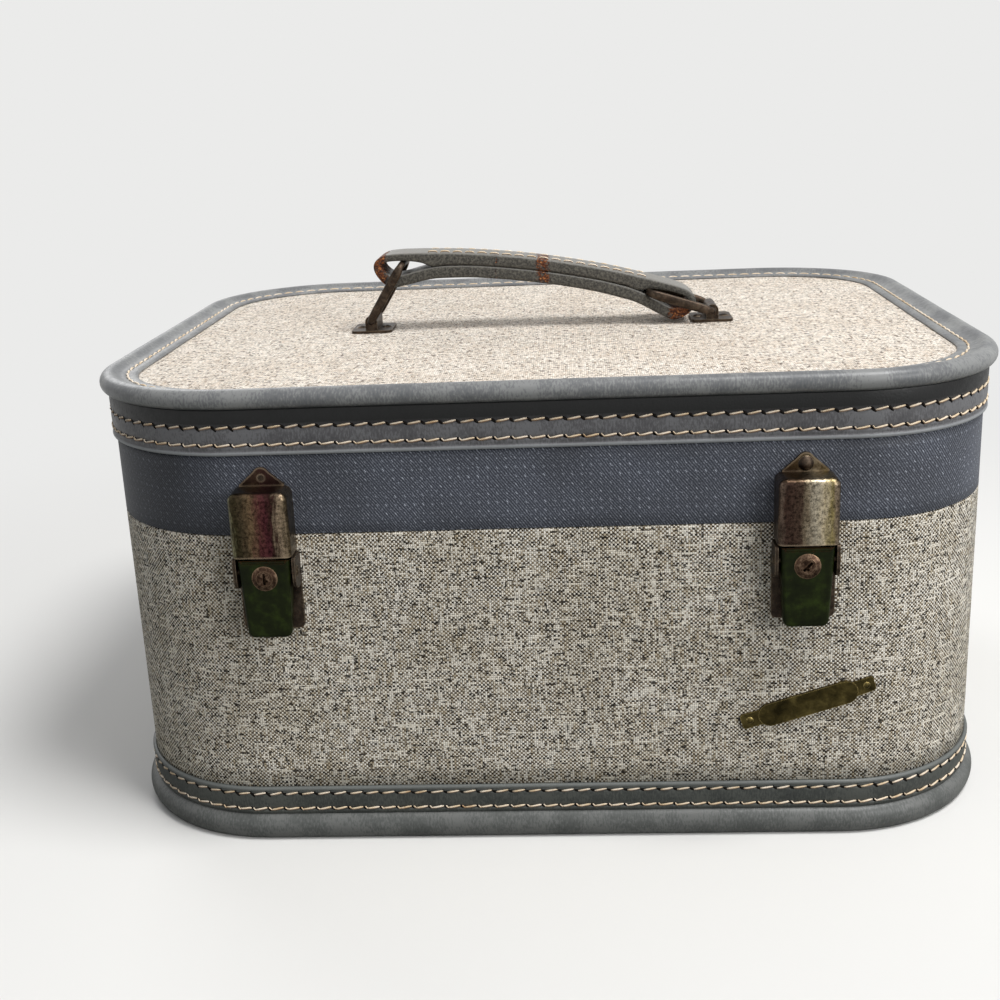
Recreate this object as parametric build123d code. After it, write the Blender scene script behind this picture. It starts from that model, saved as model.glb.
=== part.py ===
from build123d import *
import os
from math import asin, cos, degrees, radians, sin, sqrt

# Hard-sided vanity case with a hinged lid, two rocker latches and a looped leather handle.
# Millimetres. +X is to the case's left-to-right width seen from the front, -Y is the front, +Z is up.
# Heights are measured from the surface that the case stands on.

# Case body
case_width = 340.0          # over the cloth on the side walls
case_depth = 274.0
corner_radius = 59.0        # of the cloth face, seen from above
parting_height = 124.7      # top of the base's rim
rim_gap = 0.3               # the lid's rim stands this far over the base's
lid_height = 51.6           # from the lid's rim to the face of its top cloth
cloth = 0.8                 # thickness of the woven covering
base_wall = 4.0             # plywood
lid_wall = 3.2
floor_thickness = 4.0
lining = 0.8

# Edge trim
binding_thickness = 1.8     # padded vinyl band over the plywood
binding_height = 15.3       # lid band, from its bead to the roll
base_binding_height = 9.7
bead_radius = 0.95
bead_proud = 0.55           # bead centre outside the cloth face
roll_radius = 3.75          # lid's rolled edge
roll_proud = 0.35           # roll centre outside the cloth face
strip_width = 10.7          # flat stitched strip inside the roll
strip_thickness = 1.2
foot_roll_proud = 4.0       # base roll beyond the cloth face
foot_roll_height = 10.2
foot_land = 0.5             # flat cut off the roll where it stands
bottom_recess = 2.0         # bottom cloth above the ground
bottom_strip_width = 12.0
bottom_strip_thickness = 1.1

# Locating lip inside the base's rim
lip_thickness = 1.6
lip_rise = 7.0
lip_depth = 22.0
lip_rear_stop = 62.0        # the lip ends here, ahead of the stays

# Mirror and pocket
mirror_width = 214.0
mirror_depth = 144.0
mirror_thickness = 2.0
mirror_corner = 12.0
frame_border = 6.0
frame_overlap = 4.0
frame_thickness = 3.4
mirror_fit = 0.15
pocket_width = 204.0
pocket_low = 30.0
pocket_high = 96.0
pocket_belly = 12.0
pocket_fit = 0.3            # behind the pocket
pocket_foot = 4.0           # height over which the belly starts
pocket_full_height = 24.0   # height of the fullest part over the pocket's lower edge
pocket_taper = 8.0          # height over which the belly closes below the hem
pocket_hem = 4.0            # the hem stands off the wall
pocket_foot_share = 0.75    # of the belly, at the foot and at the taper
pocket_taper_share = 0.5

# Latches
straight_half = case_width / 2 - corner_radius   # half of the front wall's flat part
latch_inset = {"left": 9.7, "right": 16.9}      # from the end of the flat part
latch_x = {"left": latch_inset["left"] - straight_half, "right": straight_half - latch_inset["right"]}
plate_width = 23.0
plate_low = 88.5
plate_high = 119.0
plate_thickness = 1.2
plate_corner = 2.0
plate_rivet_rises = (4.0, 12.0)
ear_low_round = 4.0
ear_high_round = 1.5
ear_thickness = 1.2
ear_low = 106.5
ear_reach = 8.6             # ears stand out from the plate's face
rocker_out = 6.5            # rocker axis outside the cloth face
rocker_height = 113.0
stub_radius = 1.2
stub_head_rise = 0.6
stub_head_wide = 0.9        # head radius beyond the stub's
stub_inner_gap = 0.3
rocker_top_width = 19.2
rocker_bottom_width = 16.2
rocker_top = 118.3
rocker_bottom = 88.0
rocker_face_out = 10.0
rocker_sheet = 1.2
rocker_cheek_depth = 5.9
rocker_corner = 2.6         # lower corners, seen from the front
rocker_edge_round = 1.4
rocker_heel_length = 13.0   # full-depth part of the cheeks at the top
rocker_heel_depth_share = 0.45
rocker_cheek_slope = -9.0   # degrees
curl_radius = 0.7           # rolled top edge of the lever
curl_inset = 1.6
curl_sink = 0.4
running = 0.05              # radial clearance of a turning pin
barrel_height = 111.4
barrel_radius = 4.0
barrel_length = 4.4
barrel_rim_radius = 4.75
barrel_rim_proud = 1.1
barrel_clearance_depth = 2.0
plug_proud = 0.7
plug_radius = 2.9
keyway_width = 1.1
keyway_height = 4.4
keyway_depth = 2.4
ward_size = 1.0
ward_place = (0.8, -0.7)
cam_thickness = 0.9
cam_width = 2.4
cam_back = 0.6
cam_reach = 4.6
cam_gap = 0.15              # between the barrel's back face and the cam
key_turn = {"left": 0.0, "right": -45.0}
hood_width = 21.6
hood_low = 119.8
hood_high = 144.0
hood_out = 12.0
hood_sheet = 1.0
hood_corner = 3.0
hood_edge_round = 2.4
hood_inner_round = 1.4
tab_width = 16.5
tab_below_bead = 4.35       # the tab's tip ends this far under the lid's bead
tab_tip_radius = 3.2
tab_tip_share = 0.86        # where the tab's sides meet its round tip, in tip radii
tab_rivet_drop = 4.0        # below the tip
tab_shoulder = 0.6          # the tab keeps its full width this far over the hood
tab_root = 2.0              # overlap of tab and hood
tab_web_depth = 3.0
tab_web_thickness = 1.6
catch_width = 9.0
catch_clearance = 0.3       # the catch stands this far behind the keeper's ledge
catch_rise = 3.6            # top of the catch over the hood's lower edge
catch_depth = 2.4
catch_low_rise = 3.4        # foot of the catch over the rocker's axis
catch_sheet = 1.2
catch_foot_height = 2.4
barb_rise = 1.4             # over the hood's lower edge
barb_top_inset = 0.3
barb_side_inset = 1.0
keeper_ledge_reach = 3.1
keeper_height = 6.0
keeper_sheet = 1.0
keeper_ledge_thickness = 0.9
keeper_side_margin = 2.0
keeper_low_rise = 0.2
hood_rivet_head = 2.8
hood_rivet_rise = 1.5
broken_rivet_depth = 0.5
sheet_rivet_radius = 1.2
sheet_rivet_head = 2.3

# Nameplate, left blank
badge_from_side = 97.5      # lower left end, in from the case's right side
badge_low = 46.0
badge_run = 49.1
badge_rise = 15.25
badge_start = (case_width / 2 - badge_from_side, badge_low)
badge_end = (badge_start[0] + badge_run, badge_low + badge_rise)
badge_bar_corner = 1.2
badge_pin_head = 0.5        # head radius beyond the pin's
badge_pin_rise = 0.6
badge_bar_height = 6.0
badge_field_height = 9.0
badge_field_share = 0.74
badge_thickness = 0.7
badge_raise = 0.5
badge_pin_inset = 3.2
badge_pin_radius = 0.9

# Rear hinges
hinge_inset = 15.0          # hinge centre from the end of the rear wall's flat part
hinge_x = straight_half - hinge_inset
hinge_axis_out = 2.8
knuckle_radius = 2.7
hinge_pin_radius = 1.5
hinge_width = 36.0
leaf_height = 19.0
leaf_thickness = 1.2
leaf_corner = 4.0
leaf_rivet_inset = 5.0
knuckle_gap = 0.25
knuckle_clearance = 0.5     # leaf's edge to the other leaf's knuckles
pin_overhang = 0.4
hinge_rivet_spacing = 12.0
rivet_rise = 0.9
plate_rivet_rise = 0.8

# Lid stays: the pivot on the lid and the stud on the base are equally far from the hinge axis,
# so the slotted arm turns by exactly half of the lid's angle.
stay_reach = 60.0
stay_rise = 14.0            # pivot above and stud below the hinge axis
lid_opening = 95.0
stay_stand_off = 7.5        # arm's outer face inside the base lining
stay_thickness = 1.6
stay_width = 8.0
stay_stud_radius = 2.0
stay_shoulder_radius = 3.5
stay_head_radius = 3.8
stay_head_thickness = 1.2
stay_slot_clearance = 0.15
stay_end_margin = 4.0
stay_play = 0.15            # beside the arm, along its pins

# Handle and its bails
handle_half_length = 71.5
handle_width = 20.0
handle_tilt = 8.5
handle_rise = 26.9          # centre over the top cloth
handle_shift = -2.5
bail_pivot_out = {"left": 5.5, "right": 2.5}     # beyond the strap's half length
bail_pivot = {"left": -handle_half_length - bail_pivot_out["left"],
              "right": handle_half_length + bail_pivot_out["right"]}
bail_lean = {"left": 58.2, "right": 18.0}   # degrees up from level, leaning inwards
bail_pivot_rise = 4.9       # pivot axis above the top cloth
bail_length = 29.2
bail_rod = 1.4
bail_inside = 22.0
bail_corner = 3.2
mount_corner = 2.5
mount_rivet_inset = 3.2
mount_width = 18.0
mount_depth = 21.0
mount_thickness = 1.2
mount_tunnel_length = 18.0
strap_crown = 3.3           # top of the strap above the handle's centre line, at mid length
strap_crown_radius = 400.0
strap_underside = 6.9
strap_layer = 5.0
strap_round = 1.1
# Side outline of one end of the strap and of its eye, drawn for this half length
strap_drawn_half = 71.5
strap_crown_end = 62.0
strap_end_points = [(69.0, -3.2), (71.5, -7.2), (69.5, -12.6), (64.5, -16.6)]
strap_low_points = [(52.0, -13.2), (40.0, -9.3)]
eye_top_points = [(45.6, -3.9), (52.0, -3.1), (60.0, -4.2), (67.8, -8.4)]
eye_low_points = [(63.0, -12.2), (56.0, -10.9), (49.0, -8.2), (45.6, -6.6)]
eye_inner_round = 1.6
crease_end = 45.0
crease_fall = 3.2           # of the crease between its middle and its ends
crease_width = 0.6
crease_end_width = 0.5
crease_depth = 1.0
# Small margins and the trim's joints
through = 1.0               # how far a cutter runs past the face that it opens
roll_sink = 0.45            # roll centre over the plywood's top
trim_gap = 0.1
bead_seat = 0.8             # bead centre beyond its band's edge
bead_overlap = 0.2
mirror_frame_round = 1.0
cloth_edge_overlap = 1.7    # strip over the top cloth's edge


def footprint(offset):
    """Plan outline of the case, offset outwards from the cloth face."""
    radius = corner_radius + offset
    return RectangleRounded(case_width + 2 * offset, case_depth + 2 * offset, radius)


def slab(offset, low, high):
    return Pos(0, 0, low) * extrude(footprint(offset), high - low)


def band(inner, outer, low, high):
    return slab(outer, low, high) - slab(inner, low, high)


def wall_path(height):
    """The cloth face's outline as a wire that starts at the middle of the front."""
    half_width = case_width / 2
    half_depth = case_depth / 2
    radius = corner_radius
    diagonal = radius * (1 - sqrt(0.5))
    edges = [Line((0, -half_depth, height), (half_width - radius, -half_depth, height))]
    for turn in range(4):
        along_x = turn % 2 == 0
        side_x = half_width if turn in (0, 1) else -half_width
        side_y = half_depth if turn in (1, 2) else -half_depth
        in_x = -radius if side_x > 0 else radius
        in_y = -radius if side_y > 0 else radius
        cut_x = -diagonal if side_x > 0 else diagonal
        cut_y = -diagonal if side_y > 0 else diagonal
        first = (side_x + in_x, side_y, height) if along_x else (side_x, side_y + in_y, height)
        last = (side_x, side_y + in_y, height) if along_x else (side_x + in_x, side_y, height)
        edges.append(ThreePointArc(first, (side_x + cut_x, side_y + cut_y, height), last))
        if turn == 3:
            edges.append(Line(last, (0, -half_depth, height)))
        elif along_x:
            edges.append(Line(last, (side_x, -side_y - in_y, height)))
        else:
            edges.append(Line(last, (-side_x - in_x, side_y, height)))
    return Wire(edges)


def at_front(out, height):
    """A point of a trim section, drawn in the plane across the middle of the front wall."""
    return (0, -(case_depth / 2 + out), height)


def section_polygon(points):
    corners = [at_front(out, height) for out, height in points]
    return Face(Wire([Line(a, b) for a, b in zip(corners, corners[1:] + corners[:1])]))


def section_ellipse(out, height, half_out, half_height):
    plane = Plane(origin=at_front(out, height), x_dir=(0, -1, 0), z_dir=(1, 0, 0))
    return plane * Ellipse(half_out, half_height)


def swept(section, height):
    return sweep(section, path=wall_path(height))


def disc(radius, length):
    """Cylinder that starts at the origin and runs along +Z."""
    return Pos(0, 0, length / 2) * Cylinder(radius, length)


def facing_front(x, out, height):
    """Frame on the front wall: its Z runs outwards (towards -Y), its X to the right."""
    return Location(Plane(origin=(x, -(case_depth / 2 + out), height),
                          x_dir=(1, 0, 0), z_dir=(0, -1, 0)))


def facing_rear(x, out, height):
    return Location(Plane(origin=(x, case_depth / 2 + out, height),
                          x_dir=(-1, 0, 0), z_dir=(0, 1, 0)))


def domed_head(radius, rise):
    """Shallow round rivet head, flat side at the origin."""
    ball = (radius * radius + rise * rise) / (2 * rise)
    cap = Pos(0, 0, rise - ball) * Sphere(ball)
    return cap & disc(radius, rise)


def rivet(place, shank_radius, head_radius, rise, shank_length):
    head = domed_head(head_radius, rise)
    shank = Pos(0, 0, -shank_length) * disc(shank_radius, shank_length)
    return place * (head + shank)


def rivet_hole(place, shank_radius, shank_length):
    return place * (Pos(0, 0, -shank_length) * disc(shank_radius, shank_length))


def less(solid, cutters):
    for cutter in cutters:
        solid = solid - cutter
    return solid


# Heights and faces that follow from the driving dimensions
ply_face = -cloth
lid_rim = parting_height + rim_gap
top_face = lid_rim + lid_height
ply_top = top_face - cloth
roll_height = ply_top + roll_sink
lid_binding_top = roll_height - roll_radius - trim_gap
lid_bead_height = lid_binding_top - binding_height - bead_seat
base_binding_top = foot_roll_height + base_binding_height
base_bead_height = base_binding_top + bead_seat
ply_bottom = bottom_recess + cloth
floor_top = ply_bottom + floor_thickness
base_inner = -(cloth + base_wall)
base_lined = base_inner - lining
lid_inner = -(cloth + lid_wall)
lid_lined = lid_inner - lining
ceiling = ply_top - lid_wall
ceiling_face = ceiling - lining
hinge_axis_height = parting_height + rim_gap / 2
hinge_axis_y = case_depth / 2 + hinge_axis_out
front_wall = case_depth / 2

# Latch sites: rivets through the plate, and through the hood's tab
plate_rivet_heights = [plate_low + rise for rise in plate_rivet_rises]
tab_tip_height = lid_bead_height - bead_radius - tab_below_bead
tab_rivet_height = tab_tip_height - tab_rivet_drop
shell_shank = cloth + base_wall


def latch_plate_rivet_places(x):
    return [facing_front(x, plate_thickness, height) for height in plate_rivet_heights]


def tab_rivet_place(x):
    return facing_front(x, plate_thickness, tab_rivet_height)


def hinge_rivet_places(x, height):
    return [facing_rear(x + step * hinge_rivet_spacing, leaf_thickness, height)
            for step in (-1, 0, 1)]


base_leaf_rivet_height = hinge_axis_height - leaf_height + leaf_rivet_inset
lid_leaf_rivet_height = hinge_axis_height + leaf_height - leaf_rivet_inset
mount_rivet_offset = mount_width / 2 - mount_rivet_inset


def mount_rivet_places(x):
    height = top_face + mount_thickness
    return [Pos(x + side * mount_rivet_offset, 0, height) for side in (-1, 1)]


sides = ("left", "right")
base_holes = []
lid_holes = []
for side in sides:
    for place in latch_plate_rivet_places(latch_x[side]):
        base_holes.append(rivet_hole(place, sheet_rivet_radius, plate_thickness + shell_shank))
    lid_holes.append(rivet_hole(tab_rivet_place(latch_x[side]), sheet_rivet_radius,
                                plate_thickness + cloth + lid_wall))
    for place in mount_rivet_places(bail_pivot[side]):
        lid_holes.append(rivet_hole(place, sheet_rivet_radius, mount_thickness + cloth + lid_wall))
for sign in (-1, 1):
    for place in hinge_rivet_places(sign * hinge_x, base_leaf_rivet_height):
        base_holes.append(rivet_hole(place, sheet_rivet_radius, leaf_thickness + shell_shank))
    for place in hinge_rivet_places(sign * hinge_x, lid_leaf_rivet_height):
        lid_holes.append(rivet_hole(place, sheet_rivet_radius, leaf_thickness + cloth + lid_wall))

# Nameplate: a bar and a raised blank field that follow the wall round the corner
badge_dx = badge_end[0] - badge_start[0]
badge_dz = badge_end[1] - badge_start[1]
badge_length = sqrt(badge_dx ** 2 + badge_dz ** 2)
badge_angle = degrees(asin(badge_dz / badge_length))
badge_middle = ((badge_start[0] + badge_end[0]) / 2, (badge_start[1] + badge_end[1]) / 2)


def on_badge(along):
    """Point on the badge's centre line, measured from its middle."""
    angle = radians(badge_angle)
    return badge_middle[0] + along * cos(angle), badge_middle[1] + along * sin(angle)


def badge_layer(outline, inner, outer):
    """Extrude an outline through the front wall and keep what lies between two offsets."""
    reach = badge_length / 2
    front = Location(Plane(origin=(badge_middle[0], -(front_wall + badge_bar_height), badge_middle[1]),
                           x_dir=(1, 0, 0), z_dir=(0, -1, 0)))
    block = front * (Rot(0, 0, badge_angle) * (Pos(0, 0, -reach) * extrude(outline, reach)))
    low = badge_middle[1] - badge_length / 2
    return block & band(inner, outer, low, low + badge_length)


def badge_pin_places():
    places = []
    for end in (-1, 1):
        x, height = on_badge(end * (badge_length / 2 - badge_pin_inset))
        past_flat = max(0.0, abs(x) - (case_width / 2 - corner_radius))
        sag = corner_radius - sqrt(corner_radius ** 2 - past_flat ** 2)
        turn = degrees(asin(past_flat / corner_radius))
        places.append(Pos(x, -(front_wall - sag), height) * Rot(0, 0, turn)
                      * Location(Plane(origin=(0, 0, 0), x_dir=(1, 0, 0), z_dir=(0, -1, 0)))
                      * Pos(0, 0, badge_thickness))
    return places


badge_bar = RectangleRounded(badge_length, badge_bar_height, badge_bar_corner)
badge_field = SlotOverall(badge_length * badge_field_share, badge_field_height)
badge_holes = [rivet_hole(place, badge_pin_radius, badge_thickness + shell_shank)
               for place in badge_pin_places()]
base_holes += badge_holes

parts = {}

# Base: plywood tray, cloth, bound lower edge, floor cloth, lining and locating lip
tray = slab(ply_face, ply_bottom, parting_height) - slab(base_inner, floor_top, parting_height)
parts["base_shell"] = less(tray, base_holes)
base_cloth = band(ply_face, 0, base_bead_height + bead_radius, parting_height)
parts["base_covering"] = less(base_cloth, base_holes)

base_band = section_polygon([(ply_face, foot_roll_height), (binding_thickness - cloth, foot_roll_height),
                             (binding_thickness - cloth, base_binding_top + bead_overlap),
                             (ply_face, base_binding_top + bead_overlap)])
base_bead = section_ellipse(bead_proud, base_bead_height, bead_radius, bead_radius)
parts["base_binding"] = swept(base_band, base_binding_top) + swept(base_bead, base_bead_height)

foot_half = (foot_roll_height + foot_land) / 2
foot_roll = swept(section_ellipse(0, foot_roll_height - foot_half, foot_roll_proud, foot_half), foot_half)
foot_strip = band(-bottom_strip_width, 0, bottom_recess - bottom_strip_thickness, bottom_recess)
foot = (foot_roll + foot_strip) - slab(ply_face, bottom_recess, foot_roll_height + foot_land)
foot = foot - slab(foot_roll_proud + through, -2 * foot_land, 0)
parts["base_welt"] = foot
parts["bottom_panel"] = slab(ply_face, bottom_recess, ply_bottom)

base_liner = slab(base_inner, floor_top, parting_height - lining) - slab(
    base_lined, floor_top + lining, parting_height)
parts["base_lining"] = base_liner
rear_box = Pos(0, lip_rear_stop + case_depth / 2, parting_height) * Box(
    case_width, case_depth, 2 * lip_depth + 2 * lip_rise)
parts["locating_lip"] = band(base_lined - lip_thickness, base_lined,
                             parting_height - lip_depth, parting_height + lip_rise) - rear_box

# Gathered pocket on the rear wall, drawn as its belly in section
pocket_back = case_depth / 2 + base_lined - pocket_fit
pocket_profile = Polyline((0, pocket_back, pocket_low),
                          (0, pocket_back - pocket_belly * pocket_foot_share, pocket_low + pocket_foot),
                          (0, pocket_back - pocket_belly, pocket_low + pocket_full_height),
                          (0, pocket_back - pocket_belly * pocket_taper_share, pocket_high - pocket_taper),
                          (0, pocket_back - pocket_hem, pocket_high), (0, pocket_back, pocket_high),
                          close=True)
pocket = extrude(Face(Wire(pocket_profile.edges())), pocket_width, dir=(1, 0, 0))
parts["rear_pocket"] = Pos(-pocket_width / 2, 0, 0) * pocket

# Lid: plywood cap, cloths, bound edge, roll, lining
cap = slab(ply_face, lid_rim, ply_top) - slab(lid_inner, lid_rim, ceiling)
parts["lid_shell"] = less(cap, lid_holes)
top_cloth_edge = -(strip_width - cloth_edge_overlap)
parts["lid_top_covering"] = less(slab(top_cloth_edge, ply_top, top_face), lid_holes)
side_cloth = band(ply_face, 0, lid_rim, lid_bead_height - bead_radius)
parts["lid_side_covering"] = less(side_cloth, lid_holes)
lid_band_low = lid_bead_height + bead_seat - bead_overlap
lid_band = section_polygon([(ply_face, lid_band_low), (binding_thickness - cloth, lid_band_low),
                            (binding_thickness - cloth, lid_binding_top), (ply_face, lid_binding_top)])
lid_bead = section_ellipse(bead_proud, lid_bead_height, bead_radius, bead_radius)
parts["lid_binding"] = swept(lid_band, lid_binding_top) + swept(lid_bead, lid_bead_height)

roll = swept(section_ellipse(roll_proud, roll_height, roll_radius, roll_radius), roll_height)
strip = band(-strip_width, roll_proud - roll_radius / 2, ply_top, top_face + strip_thickness)
rolled_edge = (roll + strip) - slab(ply_face, lid_rim, ply_top)
parts["lid_welt"] = rolled_edge - slab(top_cloth_edge, ply_top, top_face)

lid_liner = slab(lid_inner, lid_rim + lining, ceiling) - slab(lid_lined, lid_rim, ceiling_face)
parts["lid_lining"] = lid_liner

# Mirror in the lid
frame_outer = RectangleRounded(mirror_width + 2 * frame_border, mirror_depth + 2 * frame_border,
                               mirror_corner + frame_border)
frame_window = RectangleRounded(mirror_width - 2 * frame_overlap, mirror_depth - 2 * frame_overlap,
                                mirror_corner - frame_overlap)
mirror_seat = RectangleRounded(mirror_width + 2 * mirror_fit, mirror_depth + 2 * mirror_fit,
                               mirror_corner + mirror_fit)
mirror_outline = RectangleRounded(mirror_width, mirror_depth, mirror_corner)
frame_low = ceiling_face - frame_thickness
surround = Pos(0, 0, frame_low) * extrude(frame_outer, frame_thickness)
surround = fillet(surround.edges().group_by(Axis.Z)[0], mirror_frame_round)
surround = surround - Pos(0, 0, frame_low) * extrude(frame_window, frame_thickness)
seat_depth = mirror_thickness + mirror_fit
surround = surround - Pos(0, 0, ceiling_face - seat_depth) * extrude(mirror_seat, seat_depth)
parts["mirror_frame"] = surround
parts["mirror"] = Pos(0, 0, ceiling_face - mirror_thickness) * extrude(mirror_outline, mirror_thickness)

# Nameplate
bar = badge_layer(badge_bar, 0, badge_thickness)
field = badge_layer(badge_field, 0, badge_thickness + badge_raise)
parts["nameplate"] = less(bar + field, badge_holes)
parts["nameplate_pins"] = Compound([rivet(place, badge_pin_radius, badge_pin_radius + badge_pin_head,
                                          badge_pin_rise, badge_thickness + shell_shank)
                                    for place in badge_pin_places()])


# Latches
def latch_plate(x):
    """Base plate with two ears that carry the rocker."""
    place = facing_front(x, 0, (plate_low + plate_high) / 2)
    plate = place * extrude(
        RectangleRounded(plate_width, plate_high - plate_low, plate_corner), plate_thickness)
    ear_height = plate_high - ear_low
    ears = None
    for side in (-1, 1):
        ear = Box(ear_thickness, ear_reach, ear_height)
        nose = ear.edges().filter_by(Axis.X).sort_by(Axis.Y)[0:2]
        ear = fillet(nose.sort_by(Axis.Z)[0], ear_low_round)
        ear = fillet(ear.edges().filter_by(Axis.X).sort_by(Axis.Y)[0:2].sort_by(Axis.Z)[-1],
                     ear_high_round)
        ear = Pos(x + side * (plate_width - ear_thickness) / 2,
                  -(front_wall + plate_thickness + ear_reach / 2), ear_low + ear_height / 2) * ear
        ears = ear if ears is None else ears + ear
    bracket = plate + ears
    axle = Pos(x - plate_width, -(front_wall + rocker_out), rocker_height) * Rot(0, 90, 0)
    bracket = bracket - axle * disc(stub_radius, 2 * plate_width)
    return less(bracket, [rivet_hole(place, sheet_rivet_radius, plate_thickness + through)
                          for place in latch_plate_rivet_places(x)])


def rocker_stubs(x):
    """Two short pivot rivets, one through each ear and cheek."""
    reach = plate_width / 2 + stub_head_rise
    inner = rocker_top_width / 2 - rocker_sheet - stub_inner_gap
    stubs = []
    for side in (-1, 1):
        stub = Pos(0, 0, inner) * disc(stub_radius, reach - inner)
        head = Pos(0, 0, plate_width / 2) * domed_head(stub_radius + stub_head_wide, stub_head_rise)
        place = Pos(x, -(front_wall + rocker_out), rocker_height) * Rot(0, side * 90, 0)
        stubs.append(place * (stub + head))
    return Compound(stubs)


def rocker_outline(shrink, top_extra=0.0):
    half_top = rocker_top_width / 2 - shrink
    half_bottom = rocker_bottom_width / 2 - shrink
    middle = (rocker_top + rocker_bottom) / 2
    top = rocker_top - middle + top_extra
    bottom = rocker_bottom - middle + shrink
    return Polyline((-half_top, top), (-half_bottom, bottom), (half_bottom, bottom), (half_top, top),
                    close=True), rocker_corner - shrink


def rocker(x):
    """Pressed lever: tapering channel, open behind, with a curled top edge."""
    middle = (rocker_top + rocker_bottom) / 2
    depth = rocker_cheek_depth
    place = facing_front(x, rocker_face_out - depth, middle)
    outer_wire, outer_round = rocker_outline(0)
    outer = extrude(make_face(outer_wire), depth)
    outer = fillet(outer.edges().filter_by(Axis.Z).sort_by(Axis.Y)[0:2], outer_round)
    front_edges = outer.faces().sort_by(Axis.Z)[-1].edges().sort_by(Axis.Y)[:-1]
    outer = fillet(front_edges, rocker_edge_round)
    inner_wire, inner_round = rocker_outline(rocker_sheet, top_extra=rocker_cheek_depth)
    inner = extrude(make_face(inner_wire), depth - rocker_sheet)
    inner = fillet(inner.edges().filter_by(Axis.Z).sort_by(Axis.Y)[0:2], inner_round)
    channel = outer - inner
    length = rocker_top - rocker_bottom
    slope = Pos(0, -length / 2, -depth * rocker_heel_depth_share) * Rot(rocker_cheek_slope, 0, 0) * Box(
        2 * rocker_top_width, 2 * (length - rocker_heel_length), 2 * depth)
    channel = channel - slope
    curl = Pos(curl_inset - rocker_top_width / 2, length / 2 - curl_radius, depth - curl_sink) * Rot(
        0, 90, 0) * disc(curl_radius, rocker_top_width - 2 * curl_inset)
    channel = place * (channel + curl)
    axle = Pos(x - rocker_top_width, -(front_wall + rocker_out), rocker_height) * Rot(0, 90, 0)
    channel = channel - axle * disc(stub_radius + running, 2 * rocker_top_width)
    bore = facing_front(x, 0, barrel_height) * disc(barrel_radius, rocker_face_out + barrel_clearance_depth)
    return channel - bore


ledge_inner_out = hood_out - hood_sheet - keeper_ledge_reach
catch_face_out = ledge_inner_out - catch_clearance
catch_top = hood_low + catch_rise


def catch(x):
    """Tongue riveted inside the rocker; its barb stands behind the keeper's ledge."""
    back = catch_face_out - catch_depth
    low = rocker_height + catch_low_rise
    stem = extrude(RectangleRounded(catch_width, catch_top - low, catch_sheet), catch_sheet)
    stem = facing_front(x, back, (catch_top + low) / 2) * stem
    barb_low = hood_low + barb_rise
    barb = facing_front(x, back + catch_sheet / 2, (catch_top + barb_low) / 2) * extrude(
        Rectangle(catch_width - 2 * barb_side_inset, catch_top - barb_low - barb_top_inset),
        catch_depth - catch_sheet / 2)
    web = facing_front(x, back, low + catch_foot_height / 2) * extrude(
        Rectangle(catch_width, catch_foot_height), rocker_face_out - rocker_sheet - back)
    bore = facing_front(x, 0, barrel_height) * disc(barrel_radius, rocker_face_out + barrel_clearance_depth)
    return (stem + barb + web) - bore


def lock_barrel(x):
    """Cylinder housing pressed into the rocker, with its domed rim."""
    front_out = rocker_face_out
    body = disc(barrel_radius, barrel_length)
    rim = Pos(0, 0, barrel_length) * domed_head(barrel_rim_radius, barrel_rim_proud)
    depth = barrel_length + barrel_rim_proud + 2 * through
    hollow = Pos(0, 0, -through) * disc(plug_radius + running, depth)
    return facing_front(x, front_out - barrel_length, barrel_height) * ((body + rim) - hollow)


def key_plug(x, turn):
    """Turning core with its keyway, and the cam on its tail."""
    length = barrel_length + plug_proud
    core = disc(plug_radius, length)
    keyway = Pos(0, 0, length - keyway_depth / 2) * Box(keyway_width, keyway_height, keyway_depth)
    ward = Pos(*ward_place, length - keyway_depth / 2) * Box(ward_size, ward_size, keyway_depth)
    core = core - keyway - ward
    tail = Pos(0, 0, -cam_gap) * disc(cam_width / 2, cam_gap)
    cam = Pos(0, cam_reach / 2 - cam_back, -cam_gap - cam_thickness / 2) * Box(
        cam_width, cam_reach, cam_thickness)
    place = facing_front(x, rocker_face_out - barrel_length, barrel_height) * Rot(0, 0, turn)
    return place * (core + tail + cam)


def hood_outline(shrink, low_extra=0.0):
    half = hood_width / 2 - shrink
    top = hood_high - shrink
    low = hood_low - low_extra
    radius = hood_corner - shrink / 2
    lines = [Line((-half, low), (half, low)), Line((half, low), (half, top - radius)),
             RadiusArc((half, top - radius), (half - radius, top), -radius),
             Line((half - radius, top), (-half + radius, top)),
             RadiusArc((-half + radius, top), (-half, top - radius), -radius),
             Line((-half, top - radius), (-half, low))]
    return make_face(Wire(lines).edges())


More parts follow.
